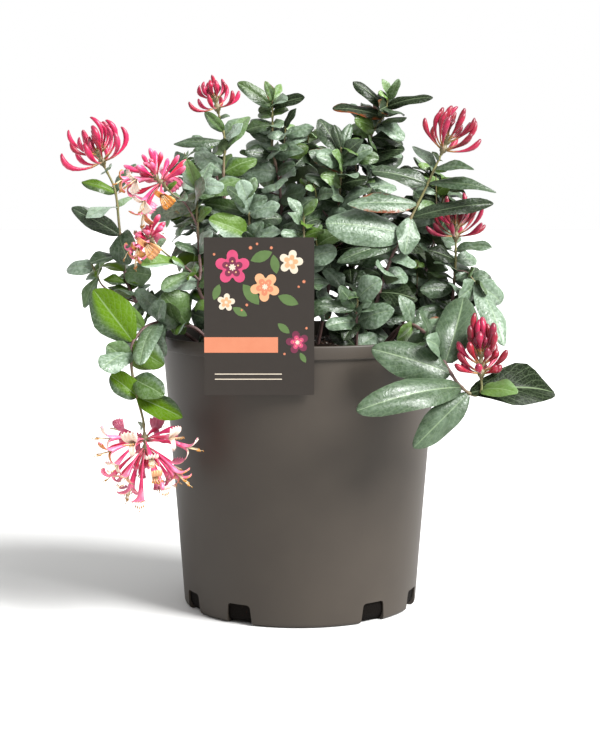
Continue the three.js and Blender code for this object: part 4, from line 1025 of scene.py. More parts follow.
def makeBlade(name, rows, columns):
    loop = [(v, 1) for v in columns] + [(v, -1) for v in columns[-2:0:-1]]
    cells = [(0.0, 0.0, 0, 0.0)]
    for u in rows:
        for v, side in loop:
            isRim = abs(v) == 1
            lift = side * bladeForm["thickness"] / 2
            if v == 0:
                lift = lift - bladeForm["groove"] if side > 0 else -bladeForm["rib"] * (1 - 0.6 * u)
            cells.append((u, v, 0 if isRim else side, 0 if isRim else lift * mm))
    cells.append((1.0, 0.0, 0, 0.0))
    count, last = len(loop), len(cells) - 1
    faces = []
    for i in range(count):
        j = (i + 1) % count
        faces.append((0, 1 + j, 1 + i))
        for row in range(len(rows) - 1):
            near = 1 + row * count
            quad = (near + i, near + j, near + count + j, near + count + i)
            faces.append(quad if i < len(columns) - 1 else quad[1:] + quad[:1])  # both skins split alike
        faces.append((last - count + i, last - count + j, last))
    mesh = newMesh(name, [(u, v * math.sin(math.pi * u), 0) for u, v, _, _ in cells], faces)
    for layer, values in zip(("leafU", "leafV", "leafSide", "bladeLift"), zip(*cells)):
        storeValues(mesh, layer, values)
    rims = {i for i, cell in enumerate(cells) if abs(cell[1]) == 1}
    sharp = mesh.attributes.new("sharp_edge", "BOOLEAN", "EDGE")
    sharp.data.foreach_set("value", [set(edge.vertices) <= rims for edge in mesh.edges])
    return newPiece(name, mesh)


def makeLeafyStemTree():
    tree, add, source = newTree("leafyStem", {
        "Broad blade": ("NodeSocketObject", None), "Slim blade": ("NodeSocketObject", None),
        "Stem sides": ("NodeSocketInt", stemForm["sides"]),
        "Stalk": ("NodeSocketFloat", bladeForm["stalk"] * mm),
        "Widest": ("NodeSocketFloat", bladeForm["widest"])})
    names = ("kind", "broad", "leafU", "leafV", "bladeLift", "width", "bluntness", "phase", "fold", "wave",
             "roll", "twist")
    kind, broad, u, v, bladeLift, width, bluntness, phase, fold, wave, roll, twist = (
        add(namedValue, name) for name in names)
    parts = add("GeometryNodeSeparateGeometry", source["Geometry"], kind, domain="POINT").node.outputs
    stem = growTube(add, parts["Inverted"], source["Stem sides"], greenwood)
    # half the blade's width, with a slightly uneven edge, down to its stalk
    shape = add(mathNode, u, source["Widest"], operation="POWER")
    for operation, *others in (("MULTIPLY", math.pi), ("SINE",), ("MAXIMUM", 0.0), ("POWER", bluntness)):
        shape = add(mathNode, shape, *others, operation=operation)
    rough = add(mathNode, u, 11.0, add(mathNode, v, phase, operation="MULTIPLY"), operation="MULTIPLY_ADD")
    rough = add(mathNode, add(mathNode, rough, operation="SINE"), 0.06, 1.0, operation="MULTIPLY_ADD")
    shape = add(mathNode, shape, rough, operation="MULTIPLY")
    blade = add(mathNode, shape, add(mathNode, width, 0.5, operation="MULTIPLY"), operation="MULTIPLY")
    thin = add(mathNode, add(mathNode, 1.0, u, operation="SUBTRACT"), 3.0, operation="POWER")
    stalk = add(mathNode, source["Stalk"], thin, operation="MULTIPLY")
    half = add(mathNode, blade, stalk, operation="MAXIMUM")
    # how far it stands off its arc: folded up at the rib, rippled and rolled back at the edge, and twisted
    swing = add(mathNode, v, 1.2, phase, operation="MULTIPLY_ADD")
    swing = add(mathNode, u, 8.0, swing, operation="MULTIPLY_ADD")
    ripple = add(mathNode, add(mathNode, v, v, operation="MULTIPLY"), add(mathNode, swing, operation="SINE"),
                 operation="MULTIPLY")
    away = add(mathNode, v, operation="ABSOLUTE")
    folded = add(mathNode, fold, away, operation="MULTIPLY")
    height = add(mathNode, ripple, wave, folded, operation="MULTIPLY_ADD")
    curl = add(mathNode, add(mathNode, away, 3.0, operation="POWER"), roll, operation="MULTIPLY")
    height = add(mathNode, height, curl, operation="SUBTRACT")
    x = add(mathNode, v, half, operation="MULTIPLY")
    turned = add(mathNode, add(mathNode, twist, u, operation="MULTIPLY"), x, operation="MULTIPLY")
    z = add(mathNode, height, half, bladeLift, operation="MULTIPLY_ADD")
    z = add(mathNode, z, turned, operation="ADD")
    place = alongArc(add, u, x, z)
    leaves = add("GeometryNodeSeparateGeometry", parts["Selection"], broad, domain="POINT").node.outputs
    endTree(add, stem, growCopies(add, leaves["Selection"], source["Broad blade"], place, livingLeaf),
            growCopies(add, leaves["Inverted"], source["Slim blade"], place, livingLeaf))
    return tree


def addStemLine(guide, shoot, flowers):
    count = math.ceil(lengthOf(shoot) / stemForm["step"])
    places, radii, ages = [], [], []
    marks = [node.frame.point for node in shoot.grown if node.leaves]
    for i in range(count + 1):
        at = shoot.last * i / count
        place = pointAt(shoot, at)
        nearest = min((np.linalg.norm(place - mark) for mark in marks), default=99)
        swelling = stemForm["swelling"] * max(0, 1 - nearest / stemForm["swellingReach"])
        places.append(place)
        radii.append((radiusAt(shoot, at) * stemForm["girth"] + swelling) * mm)
        ages.append(min(1, 1.25 * at / shoot.last))
    if not flowers:
        end = frameAt(shoot, shoot.last)
        places.append(end.point + end.tangent * 2.4)
        radii.append(0.35 * mm)
        ages.append(1)
    guide.addLine(places, stemRadius=radii, stemAge=ages)


# leaves that stand out: lit through (lime, painted light shining through them), burnt at the edge, dark,
# pale, pointed or narrow; the dark leaf at (201, -102, 190) is partly painted shade, for the shadow on its
# upper half
leafLooks = {
    (-165, -69, 270): {"lime": 1.0, "tone": 0.35}, (-73, -66, 326): {"lime": 0.9},
    (-155, -104, 208): {"lime": 1.0, "tone": 0.5, "widen": 1.3}, (-92, -106, 172): {"tone": 0.05},
    (-106, -110, 190): {"tone": 0.55},
    (-110, -70, 267): {"tone": 1.0, "lime": 0.55}, (-124, -112, 215): {"tone": 0.9, "lime": 0.2},
    (-152, -88, 228): {"tone": 0.8},
    (37, -66, 338): {"scorch": 1.0, "tone": 0.8},
    (20, -67, 323): {"tone": 0.9, "bluntness": 0.4, "widen": 1.05, "twist": 0.0},
    (29, -78, 292): {"tone": 0.3}, (201, -102, 190): {"tone": -0.6, "bluntness": 0.7},
    (42, -146, 186): {"tone": 0.6, "bluntness": 0.5}, (87, -138, 153): {"tone": 0.7, "bluntness": 0.55},
    (166, -142, 196): {"tone": 0.8, "lime": 0.3, "fresh": 0.5, "bluntness": 0.46},
    (55, -124, 228): {"tone": 0.6, "bluntness": 0.5}, (-188, -22, 334): {"tone": 0.1, "widen": 0.8},
    (111, 9, 425): {"tone": -0.3, "widen": 0.75}, (44, 9, 438): {"tone": -0.1, "widen": 0.85},
    (-52, 5, 437): {"tone": 0.25, "widen": 0.85}, (-29, 6, 438): {"fresh": 0.6}, (-46, 2, 398): {"tone": 0.2},
    (-16, 12, 437): {"fresh": 0.75}, (68, 7, 440): {"fresh": 0.55}, (82, 18, 440): {"fresh": 0.35},
    (4, 4, 425): {"tone": -0.2, "widen": 0.85}, (35, 12, 388): {"tone": -0.1},
    (-180, -17, 355): {"tone": 0.1, "fresh": 0.15}, (130, -92, 264): {"tone": 0.6, "bluntness": 0.45},
    (154, -78, 252): {"tone": 0.45}, (92, -116, 256): {"tone": 0.5}, (16, -6, 407): {"tone": 0.1},
    (52, -16, 390): {"tone": 0.2}, (156, -50, 338): {"tone": 0.0, "widen": 0.75},
    (156, -68, 347): {"tone": 0.35, "widen": 0.72}, (138, -62, 365): {"tone": 0.5, "widen": 0.85},
}


def looksOf(leaf, share, isTop, draw):
    tone, hue, age, light, blunt, turn, roll = (next(draw) for _ in range(7))
    # painted light: leaves on the left side get a paler tone, and some a lime glow of light shining through
    # them, because that side is more brightly lit
    onLeft = max(0, min(1, (10 - leaf.base[0]) / 100))
    lit = max(0, min(1, (light - (0.7 if leaf.base[2] > 290 else 0.45)) / 0.3))
    atTip = min(1, max(0, share - 0.78) * 4.5) * (leaf.length < 19) * isTop
    isSmall = leaf.length < 26 and not hasattr(leaf, "place")
    looks = {"tone": 1.55 * tone - 0.26 + 0.62 * onLeft, "lime": 0.9 * onLeft * lit,
             "fresh": min(1, 0.8 * isSmall * max(0, hue - 0.6) / 0.4 + atTip * (0.35 + 0.65 * light)),
             "scorch": float(age > 0.97), "worn": 1.0, "bluntness": 0.48 + 0.2 * blunt,
             "twist": 0.9 * (turn - 0.5), "roll": 0.5 * roll, "widen": 1.0}
    if leaf.base[1] < -88 and leaf.base[0] > 0:
        looks["worn"] = 0.25
    looks.update(leafLooks.get(getattr(leaf, "place", None), {}))
    return looks


def makeLeafyStems():
    blades = {
        "Broad blade": makeBlade("broad_blade", bladeForm["broadRows"], bladeForm["broadColumns"]),
        "Slim blade": makeBlade("slim_blade", bladeForm["slimRows"], bladeForm["slimColumns"]),
    }
    tree = makeLeafyStemTree()
    draw = seededDraw(5113)
    scalars = ["kind", "broad", "stemRadius", "stemAge", "length", "arch", "width", "fold", "wave", "phase",
               "twist", "roll", "bluntness", "tone", "fresh", "lime", "scorch", "worn"]
    for data, group in zip(stems, stemShoots):
        guide = Guide()
        for shoot in group:
            addStemLine(guide, shoot, shoot.flowers)
            for node in shoot.grown:
                for leaf in node.leaves:
                    leaf.foot = leaf.base
                    looks = looksOf(leaf, node.at / shoot.last, not shoot.flowers, draw)
                    width = leaf.width * bladeForm["widening"] * looks.pop("widen") * mm
                    wave = leaf.wave * bladeForm["waviness"]
                    guide.addArc(leaf, kind=1, broad=leaf.length > bladeForm["broadLength"], width=width,
                                 fold=leaf.fold, wave=wave, phase=leaf.phase, **looks)
        piece = guide.piece("leafy_" + data["name"], scalars)
        shaping = ["broad", "width", "fold", "wave", "phase", "twist", "roll", "bluntness", "bladeLift"]
        applyTree(piece, tree, blades, arcNames + shaping)
        finishPiece(piece, "leafy_stem", data["name"])
    for blade in blades.values():
        bpy.data.objects.remove(blade)
    print("leafy stems grown")


makeLeafyStems()


# Blooms

budShape = {
    "rings": [(0.0, 0.75), (0.18, 0.8), (0.34, 0.95), (0.48, 1.4), (0.6, 2.0), (0.72, 2.5), (0.83, 2.6),
              (0.92, 2.15), (1.0, 1.3)],
    "sides": 8, "nose": 0.8, "hookFrom": 0.55, "spikeSides": 10,
}
trumpetShape = {
    "rings": [(0.0, 0.8), (0.18, 0.9), (0.36, 1.1), (0.52, 1.4), (0.68, 1.85), (0.82, 2.35), (0.93, 2.85),
              (1.0, 3.2)],
    "sides": 24, "flatness": 0.85, "skin": 0.35, "throat": [(0.9, 2.3), (0.72, 1.6)], "lipRows": 6,
    "stamenWidth": 0.24, "antherLength": 2.2,
}
freshLips = {
    "upperLength": 14, "upperCurl": 96, "upperWidth": 12.4, "lowerLength": 12, "lowerCurl": 120,
    "lowerWidth": 4.4, "lobeDepth": 3.2, "ruffle": 1.9, "stamenReach": 15,
}
agedLips = {
    "upperLength": 13, "upperCurl": 160, "upperWidth": 8.6, "lowerLength": 10, "lowerCurl": 220,
    "lowerWidth": 3.6, "lobeDepth": 3.0, "ruffle": 2.0, "stamenReach": 11,
}


class Floret:
    # a mesh in cells of (share along the tube, millimetres past its end, across, out, organ)
    def __init__(self):
        self.cells, self.faces = [], []

    def ring(self, cells):
        self.cells += cells
        return list(range(len(self.cells) - len(cells), len(self.cells)))

    def band(self, near, far, closed=True):
        count = len(near)
        for i in range(count if closed else count - 1):
            j = (i + 1) % count
            self.faces.append((near[i], near[j], far[j], far[i]))

    def cap(self, ring, cell, atStart=False):
        [tip] = self.ring([cell])
        for i, first in enumerate(ring):
            second = ring[(i + 1) % len(ring)]
            self.faces.append((tip, second, first) if atStart else (first, second, tip))

    def piece(self, name):
        points = [(s + run / 30, x / 10, z / 10) for s, run, x, z, _ in self.cells]
        mesh = newMesh(name, points, self.faces)
        s, run, x, z, organ = (np.array(values, dtype=float) for values in zip(*self.cells))
        storeValues(mesh, "floretS", s)
        storeValues(mesh, "floretRun", run * mm)
        storeValues(mesh, "floretX", x * mm)
        storeValues(mesh, "floretZ", z * mm)
        storeValues(mesh, "organ", organ)
        return newPiece(name, mesh)


def roundRing(s, radius, sides, flatness=1.0, organ=0.0, run=0.0):
    # from over the top (+z) round by -x, so that a band along the tube faces outwards
    turns = [2 * math.pi * k / sides for k in range(sides)]
    return [(s, run, -radius * math.sin(t), flatness * radius * math.cos(t), organ) for t in turns]


def makeBud():
    floret = Floret()
    rings = [floret.ring(roundRing(s, r, budShape["sides"])) for s, r in budShape["rings"]]
    for near, far in zip(rings, rings[1:]):
        floret.band(near, far)
    floret.cap(rings[0], (0.0, 0, 0, 0, 0), atStart=True)
    floret.cap(rings[-1], (1.0, budShape["nose"], 0, 0, 0))
    return floret.piece("bud")


def lipCell(lips, share, row, upper, rimCell, skin):
    # share runs from -1 to 1 across the lip, row along it, and skin lifts the outer face off the inner one
    _, _, rimX, rimZ, _ = rimCell
    part = "upper" if upper else "lower"
    length, width, curl = lips[part + "Length"], lips[part + "Width"], math.radians(lips[part + "Curl"])
    facing = 1 if upper else -1
    along = row / trumpetShape["lipRows"]
    if upper:
        lobe = 0.5 - 0.5 * math.cos(4 * math.pi * share)
        length += lips["lobeDepth"] * (lobe - 0.5) * max(0, 3 * along - 2)
    bend = curl * along
    reach = length / curl
    spread = width / 2 * (0.8 + 0.35 * math.sin(math.pi * min(1, along * 0.8)))
    blend = min(1, along * 1.6)
    x = (1 - blend) * rimX + blend * share * spread
    base = (1 - blend) * rimZ + blend * facing * trumpetShape["flatness"] * 2.2
    base += facing * blend * (lips["ruffle"] * along * math.cos(4 * math.pi * share) - 0.9 * share * share)
    run = (0.75 * reach - skin) * math.sin(bend)
    return (1.0, run, x, base + facing * (reach * (1 - math.cos(bend)) + skin * math.cos(bend)),
            0.0 if skin > 0 else 1.0)


def makeTrumpet(name, lips):
    shape = trumpetShape
    sides = shape["sides"]
    floret = Floret()
    rings = [floret.ring(roundRing(s, r, sides, shape["flatness"])) for s, r in shape["rings"]]
    for near, far in zip(rings, rings[1:]):
        floret.band(near, far)
    floret.cap(rings[0], (0.0, 0, 0, 0, 0), atStart=True)
    mouth = shape["rings"][-1][1] - shape["skin"]
    inner = [floret.ring(roundRing(1.0, mouth, sides, shape["flatness"], 1.0))]
    inner += [floret.ring(roundRing(s, r, sides, shape["flatness"], 1.0)) for s, r in shape["throat"]]
    for near, far in zip(inner, inner[1:]):
        floret.band(near, far)
    floret.cap(inner[-1], (shape["throat"][-1][0], 0, 0, 0, 1))
    quarter = sides // 4
    addLip(floret, lips, [k % sides for k in range(-quarter, quarter + 1)], True, rings[-1], inner[0])
    addLip(floret, lips, list(range(quarter, 3 * quarter + 1)), False, rings[-1], inner[0])
    addStamens(floret, lips["stamenReach"])
    return floret.piece(name)


def addLip(floret, lips, columns, isUpper, outerRim, innerRim):
    rows = trumpetShape["lipRows"]
    outer, inner = [[outerRim[k] for k in columns]], [[innerRim[k] for k in columns]]
    for row in range(1, rows + 1):
        for grid, skin in ((outer, trumpetShape["skin"] / 2), (inner, -trumpetShape["skin"] / 2)):
            cells = []
            for i, k in enumerate(columns):
                share = 1 - 2 * i / (len(columns) - 1)
                share = share if isUpper else -share
                cells.append(lipCell(lips, share, row, isUpper, floret.cells[outerRim[k]], skin))
            grid.append(floret.ring(cells))
    for row in range(rows):
        floret.band(outer[row], outer[row + 1], closed=False)
        floret.band(inner[row + 1], inner[row], closed=False)
        floret.faces.append((outer[row][0], outer[row + 1][0], inner[row + 1][0], inner[row][0]))
        floret.faces.append((inner[row][-1], inner[row + 1][-1], outer[row + 1][-1], outer[row][-1]))
    floret.band(outer[rows], inner[rows], closed=False)


def addStamens(floret, reach):
    width, long = trumpetShape["stamenWidth"], trumpetShape["antherLength"]
    for k, lean in enumerate((-0.7, -0.35, 0.0, 0.35, 0.7, 0.1)):
        isStyle = k == 5
        far = reach * (1.2 if isStyle else 1 - 0.14 * abs(lean))
        last = None
        for row in range(4):
            t = row / 3
            x, z = lean * 6 * t, -0.6 + (4.2 if isStyle else 2.8) * t * t
            near = floret.ring([(0.85, far * t, x + a * width, z + b * width, 2.0)
                                for a, b in ((0, 1), (-1, 0), (0, -1), (1, 0))])
            if last:
                floret.band(last, near)
            else:
                floret.cap(near, (0.85, -0.2, x, z, 2), atStart=True)
            last = near
        head, tall = (0.5, 1.0) if isStyle else (0.6, long)
        for run, size in ((0.1, 0.9), (0.5, 1.0), (0.9, 0.7)):
            near = floret.ring([(0.85, far + tall * run, x + a * head * size * 1.3, z + b * head * size, 3.0)
                                for a, b in ((0, 1), (-1, 0), (0, -1), (1, 0))])
            floret.band(last, near)
            last = near
        floret.cap(last, (0.85, far + tall, x, z, 3))


def makeBloomTree(petal):
    tree, add, source = newTree("floretSpray", {
        "Bud": ("NodeSocketObject", None), "Fresh trumpet": ("NodeSocketObject", None),
        "Aged trumpet": ("NodeSocketObject", None), "Spike sides": ("NodeSocketInt", budShape["spikeSides"])})
    names = ("kind", "open", "aged", "length", "girth", "hook", "floretS", "floretRun", "floretX", "floretZ")
    kind, isOpen, isAged, length, girth, hook, s, run, x, z = (add(namedValue, name) for name in names)
    parts = add("GeometryNodeSeparateGeometry", source["Geometry"], kind, domain="POINT").node.outputs
    spike = growTube(add, parts["Inverted"], source["Spike sides"], greenwood)
    florets = add("GeometryNodeSeparateGeometry", parts["Selection"], isOpen, domain="POINT").node.outputs
    opened = add("GeometryNodeSeparateGeometry", florets["Selection"], isAged, domain="POINT").node.outputs
    s = add(mathNode, s, add(mathNode, run, length, operation="DIVIDE"), operation="ADD")
    x = add(mathNode, x, girth, operation="MULTIPLY")
    z = add(mathNode, z, girth, operation="MULTIPLY")
    late = add(mathNode, s, budShape["hookFrom"], operation="SUBTRACT")
    late = add(mathNode, late, 0.0, operation="MAXIMUM")
    late = add(mathNode, late, 2.0, operation="POWER")
    z = add(mathNode, z, add(mathNode, late, hook, operation="MULTIPLY"), operation="SUBTRACT")
    place = alongArc(add, s, x, z)
    endTree(add, spike, growCopies(add, opened["Selection"], source["Aged trumpet"], place, petal),
            growCopies(add, opened["Inverted"], source["Fresh trumpet"], place, petal),
            growCopies(add, florets["Inverted"], source["Bud"], place, petal))
    return tree


def addSpike(guide, spray):
    heights, radii = [-0.4], [1.3]
    for low, high in zip(spray.levels[1:-1:2], spray.levels[2:-1:2]):
        heights += [low[0] - 1.2, low[0], low[0] + 1.6, high[0], high[0] + 0.9]
        radii += [1.5, 2.6, 3.1, 2.9, 1.7]
    heights.append(spray.levels[-1][0] - 3)
    radii.append(0.8)
    places = [spray.start + spray.axis * height for height in heights]
    guide.addLine(places, stemRadius=[r * mm for r in radii], stemAge=[0.85] * len(radii))


# how each spray looks: pink against red, ripe against dark, warm orange against cream inside, the share of
# aged lips, how far its buds hook, their girth, the neighbours of each floret, how uneven the florets are in
# length, the size of the youngest ones in the middle, and how far up a floret may point and still open
sprayLooks = {
    "bloom_far_left": {"pink": 0.62, "ripe": 1, "warm": 0.3, "aged": 0, "hook": 24, "girth": 0.98,
                       "more": 0.4, "uneven": 0.15, "core": 0.8},
    "bloom_left_droop": {"pink": 0.5, "ripe": 1, "warm": 0.42, "aged": 0.42, "hook": 0, "girth": 0.9,
                         "more": 1.8, "uneven": 0.2, "core": 0.9, "closedAbove": 0.325},
    "bloom_left_upper": {"pink": 0.58, "ripe": 1, "warm": 0.5, "aged": 0.5, "hook": 8, "girth": 0.95,
                         "more": 0.8, "uneven": 0.15, "core": 1.0, "closedAbove": 0.25},
    "bloom_left_lower": {"pink": 0.6, "ripe": 1, "warm": 0.72, "aged": 0.7, "hook": 0, "girth": 0.95,
                         "more": 1.0, "uneven": 0.15, "core": 1.0, "closedAbove": 0.3},
    "bloom_top_left": {"pink": 0.45, "ripe": 0.95, "warm": 0.3, "aged": 0, "hook": 14, "girth": 0.8,
                       "more": 0.3, "uneven": 0.15, "core": 1.1},
    "bloom_right_upper": {"pink": 0.2, "ripe": 0.75, "warm": 0.3, "aged": 0, "hook": 12, "girth": 0.95,
                          "more": 0.5, "uneven": 0.22, "core": 1.15},
    "bloom_right_mid": {"pink": 0.15, "ripe": 0.6, "warm": 0.3, "aged": 0, "hook": 8, "girth": 0.9,
                        "more": 0.5, "uneven": 0.25, "core": 1.2},
    "bloom_right_front": {"pink": 0.25, "ripe": 0.7, "warm": 0.3, "aged": 0, "hook": 5, "girth": 1.1,
                          "more": 0.7, "uneven": 0.5, "core": 1.1},
}


def addFloret(guide, line, isOpen, looks, ripeness, draw, slimness=1.0):
    hook, warmth, pinkness, girth, age = (next(draw) for _ in range(5))
    isOpen = isOpen and line.forward[2] < looks.get("closedAbove", 1.0)
    warmth += 0.5 * isOpen * max(0, -line.forward[2])
    pinkness -= 0.45 * (not isOpen) * ("closedAbove" in looks)
    hook = 0.0 if isOpen else looks["hook"] * (0.6 + 0.8 * hook) * mm
    guide.addArc(line, kind=1, open=isOpen, aged=age < looks["aged"], hook=hook,
                 ripeness=max(0, min(1, ripeness)), warmth=looks["warm"] + 0.6 * (warmth - 0.5),
                 pinkness=looks["pink"] + 0.8 * (pinkness - 0.5),
                 girth=looks["girth"] * slimness * (0.88 + 0.24 * girth))


def addInnerBuds(guide, spray, looks, draw):
    # the youngest whorls, still dark and packed round the end of the spike
    size = 0.5 * looks["core"] * spray.florets[-1].line.length
    for ring, (count, lift, start, end, share) in enumerate(((6, 3.6, 52, 18, 1.0), (4, 1.6, 26, 8, 0.72))):
        for k in range(count):
            angle = 2 * math.pi * (k + 0.35 * ring + 0.2 * next(draw)) / count
            away = spray.out * math.cos(angle) + spray.side * math.sin(angle)
            root = spray.start + spray.axis * (spray.top - lift) + away * 1.3
            line = floretLine(root, spray.axis, away, start, end, size * share * (0.8 + 0.4 * next(draw)))
            addFloret(guide, line, 0, looks, looks["ripe"] - 0.6 + 0.3 * next(draw), draw, 0.75)


def addNeighbours(guide, spray, looks, draw):
    # florets that stand between those of the main whorls
    for floret, layer in [(floret, layer) for layer in (0, 1) for floret in spray.florets]:
        if next(draw) > looks["more"] - layer:
            continue
        angle = math.radians(60 * floret.number + 30 * floret.whorl + 54 + 12 * next(draw) + 22 * layer)
        away = spray.out * math.cos(angle) + spray.side * math.sin(angle)
        line = floret.line
        height = np.dot(line.foot - spray.start, spray.axis)
        root = spray.start + spray.axis * (height + 1.5 + layer) + away * bloomForm["radius"] * 0.8
        lean = math.degrees(math.acos(max(-1, min(1, np.dot(line.forward, spray.axis)))))
        start = max(12, lean - 24 + 10 * next(draw) + 12 * layer)
        end = start - math.degrees(line.arch) * (0.8 + 0.4 * next(draw))
        extra = floretLine(root, spray.axis, away, start, end, line.length * (0.84 + 0.24 * next(draw)))
        isOpen = floret.open and next(draw) > 0.3
        addFloret(guide, extra, isOpen, looks, looks["ripe"] + 0.3 * next(draw) - 0.2, draw, 0.88)


def makeBlooms():
    shapes = {"Bud": makeBud(), "Fresh trumpet": makeTrumpet("fresh_trumpet", freshLips),
              "Aged trumpet": makeTrumpet("aged_trumpet", agedLips)}
    draw = seededDraw(7207)
    scalars = ["kind", "stemRadius", "stemAge", "length", "arch", "open", "aged", "girth", "hook", "ripeness",
               "warmth", "pinkness"]
    for data, spray in zip(blooms, bloomSprays):
        isOpen = any(floret.open for floret in spray.florets)
        looks = sprayLooks[data["name"]]
        tree = makeBloomTree(openPetal if isOpen else closedPetal)
        guide = Guide()
        addSpike(guide, spray)
        addInnerBuds(guide, spray, looks, draw)
        addNeighbours(guide, spray, looks, draw)
        for floret in spray.florets:
            ripeness = looks["ripe"] + 0.5 * (next(draw) - 0.5) - 0.15 * floret.whorl
            short = 1 - looks["uneven"] * next(draw)
            line = SimpleNamespace(**vars(floret.line))
            line.length, line.arch = line.length * short, line.arch * short
            addFloret(guide, line, floret.open, looks, ripeness, draw)
        piece = guide.piece("spray_" + data["name"], scalars)
        dropped = arcNames + ["open", "aged", "girth", "hook", "floretX", "floretZ", "floretRun"]
        applyTree(piece, tree, shapes, dropped)
        finishPiece(piece, "open_bloom" if isOpen else "closed_bloom", data["name"])
    for shape in shapes.values():
        bpy.data.objects.remove(shape)
    print("blooms opened")


makeBlooms()


# Pot

def outerAt(z):
    slant = potSize["height"] - potSize["bandHeight"] - potSize["cornerHeight"]
    taper = (potSize["rimRadius"] - potSize["bandStep"] - potSize["baseRadius"]) / slant
    return potSize["baseRadius"] + taper * (z - potSize["cornerHeight"])


def innerAt(z):
    return outerAt(z) - potSize["wall"]


def bendPoints(centreR, centreZ, radius, start, end, count=4):
    angles = [math.radians(start + (end - start) * i / count) for i in range(count + 1)]
    return [(centreR + radius * math.cos(a), centreZ + radius * math.sin(a)) for a in angles]


def revolve(name, profile, segments, materials):
    points, rings = [], []
    for r, z in profile:
        if r < 1e-6:
            points.append((0, 0, z * mm))
            rings.append([len(points) - 1] * segments)
            continue
        start = len(points)
        turns = [2 * math.pi * k / segments for k in range(segments)]
        points += [(r * math.cos(t) * mm, r * math.sin(t) * mm, z * mm) for t in turns]
        rings.append(list(range(start, start + segments)))
    faces = []
    for near, far in zip(rings, rings[1:]):
        for i in range(segments):
            j = (i + 1) % segments
            corners = [near[i], near[j], far[j], far[i]]
            faces.append(tuple(dict.fromkeys(corners)))
    return newMesh(name, points, faces, materials)


def makePot():
    size = potSize
    bandFoot = size["height"] - size["bandHeight"]
    rim, top = size["rimRadius"], size["height"]
    flat = size["baseRadius"] - size["cornerInset"]
    outerRound, innerRound = size["rimRounds"]
    profile = [(0, 0), (flat, 0)]
    profile += bendPoints(flat + 0.2, size["cornerHeight"] - 2, 3.9, -75, -4, 6)
    profile += [(outerAt(z), z) for z in (40, 90, 140, 190, bandFoot - 1.4)]
    profile += bendPoints(outerAt(bandFoot) + 0.7, bandFoot - 0.8, 0.8, 180, 90, 3)
    profile += bendPoints(rim - 0.7, bandFoot + 0.7, 0.7, -90, 0, 3)
    profile += bendPoints(rim - outerRound, top - outerRound, outerRound, 0, 90)
    profile += bendPoints(rim - size["rimThickness"] + innerRound, top - innerRound, innerRound, 90, 180)
    profile += [(innerAt(z), z) for z in (bandFoot - 1, size["cornerHeight"] + 1)]
    profile += [(flat, size["floor"]), (0, size["floor"])]
    # Polypropylene, injection-moulded: an even matt taupe skin with a faint sheen, and a fine mould grain
    # that is drawn coarser than real, so that it shows
    plastic = grainyMaterial("mouldedPolypropylene", ("#2f2923", "#352f28"), (26.0, 3), (0.9, 2, 0.05, 0.4),
                             0.52, 1.49, Specular_IOR_Level=0.32)
    pot = newPiece("pot_moulding", revolve("pot_moulding", profile, size["segments"], [plastic]))
    cutters = makeNotchCutters()
    cut = pot.modifiers.new("notches", "BOOLEAN")
    cut.operation = "DIFFERENCE"
    cut.object = cutters
    cut.solver = "EXACT"
    bakeModifiers(pot)
    pot.data.set_sharp_from_angle(angle=math.radians(38))
    bpy.data.objects.remove(cutters)
    finishPiece(pot, "pot_plastic", "nursery_pot")
    print("pot moulded")


def makeNotchCutters():
    size = potSize
    foot, head, tall = size["notchFoot"] / 2, size["notchHead"] / 2, size["notchHeight"]
    bend = size["notchRound"]
    half = [(foot, -1), (head, tall - bend)] + bendPoints(head - bend, tall - bend, bend, 0, 90, 4)
    outline = half + [(-x, z) for x, z in reversed(half)]
    points, faces = [], []
    for angle in size["notchAngles"]:
        for turn in (0, 180):
            a = math.radians(angle + turn)
            c, s = math.cos(a), math.sin(a)
            start, count = len(points), len(outline)
            for y in (-size["notchInner"], -size["notchInner"] - size["notchDepth"]):
                points += [((x * c - y * s) * mm, (x * s + y * c) * mm, z * mm) for x, z in outline]
            faces.append(tuple(start + count + i for i in range(count)))
            faces.append(tuple(start + i for i in reversed(range(count))))
            for i in range(count):
                j = (i + 1) % count
                faces.append((start + i, start + j, start + count + j, start + count + i))
    return newPiece("notch_cutters", newMesh("notch_cutters", points, faces))


makePot()


# Soil

def soilHeight(x, y):
    share = math.hypot(x, y) / innerAt(soilSize["top"])
    ripple = math.sin(0.11 * x + 0.05 * y) * math.cos(0.09 * y - 0.04 * x)
    smooth = soilSize["top"] + soilSize["mound"] * (1 - share ** 2)
    smooth += soilSize["bumps"] * ripple * (1 - share ** 6)
    rough = noise.fractal(Vector((x / 9, y / 9, 0.3)), 0.8, 2.1, 5)
    return smooth + soilSize["grain"] * rough


def makeCrumb(name, lumps, seed):
    builder = bmesh.new()
    bmesh.ops.create_icosphere(builder, subdivisions=1, radius=0.5 * mm)
    for vertex in builder.verts:
        push = noise.noise(vertex.co.normalized() * 1.7 + Vector((seed, 0, 0)))
        vertex.co *= 1 + lumps * push
    mesh = bpy.data.meshes.new(name)
    builder.to_mesh(mesh)
    builder.free()
    return newPiece(name, mesh)


def makeSoilMaterials():
    # Peat: dull, crumbly and nearly black, darker still low down. Composted bark: dull brown chips. Perlite:
    # white puffed glass, matt and porous.
    peat, add, shader, place = newMaterial("peat", 0.95, Specular_IOR_Level=0.1)
    patch, crumb = (add(noiseNode, place, 1 / (size * mm), 4) for size in (1.6, 0.9))
    colour = add(mixNode, patch, linear("#110c08"), linear("#2c2119"), **inColour)
    height = add(rangeNode, add("ShaderNodeSeparateXYZ", place, output="Z"), 0.02, 0.04, **smoothly)
    colour = add(mixNode, height, linear("#080503"), colour, **inColour)
    dress(shader, colour, crumb, 0.6)
    return [peat, grainyMaterial("compostedBark", ("#22150e", "#4f3421"), (5.0, 3), (0.7, 3, 0.3), 0.85),
            grainyMaterial("perlite", ("#a19c93", "#c6c2bb"), (1.0, 3), (0.5, 3, 0.25), 0.8)]


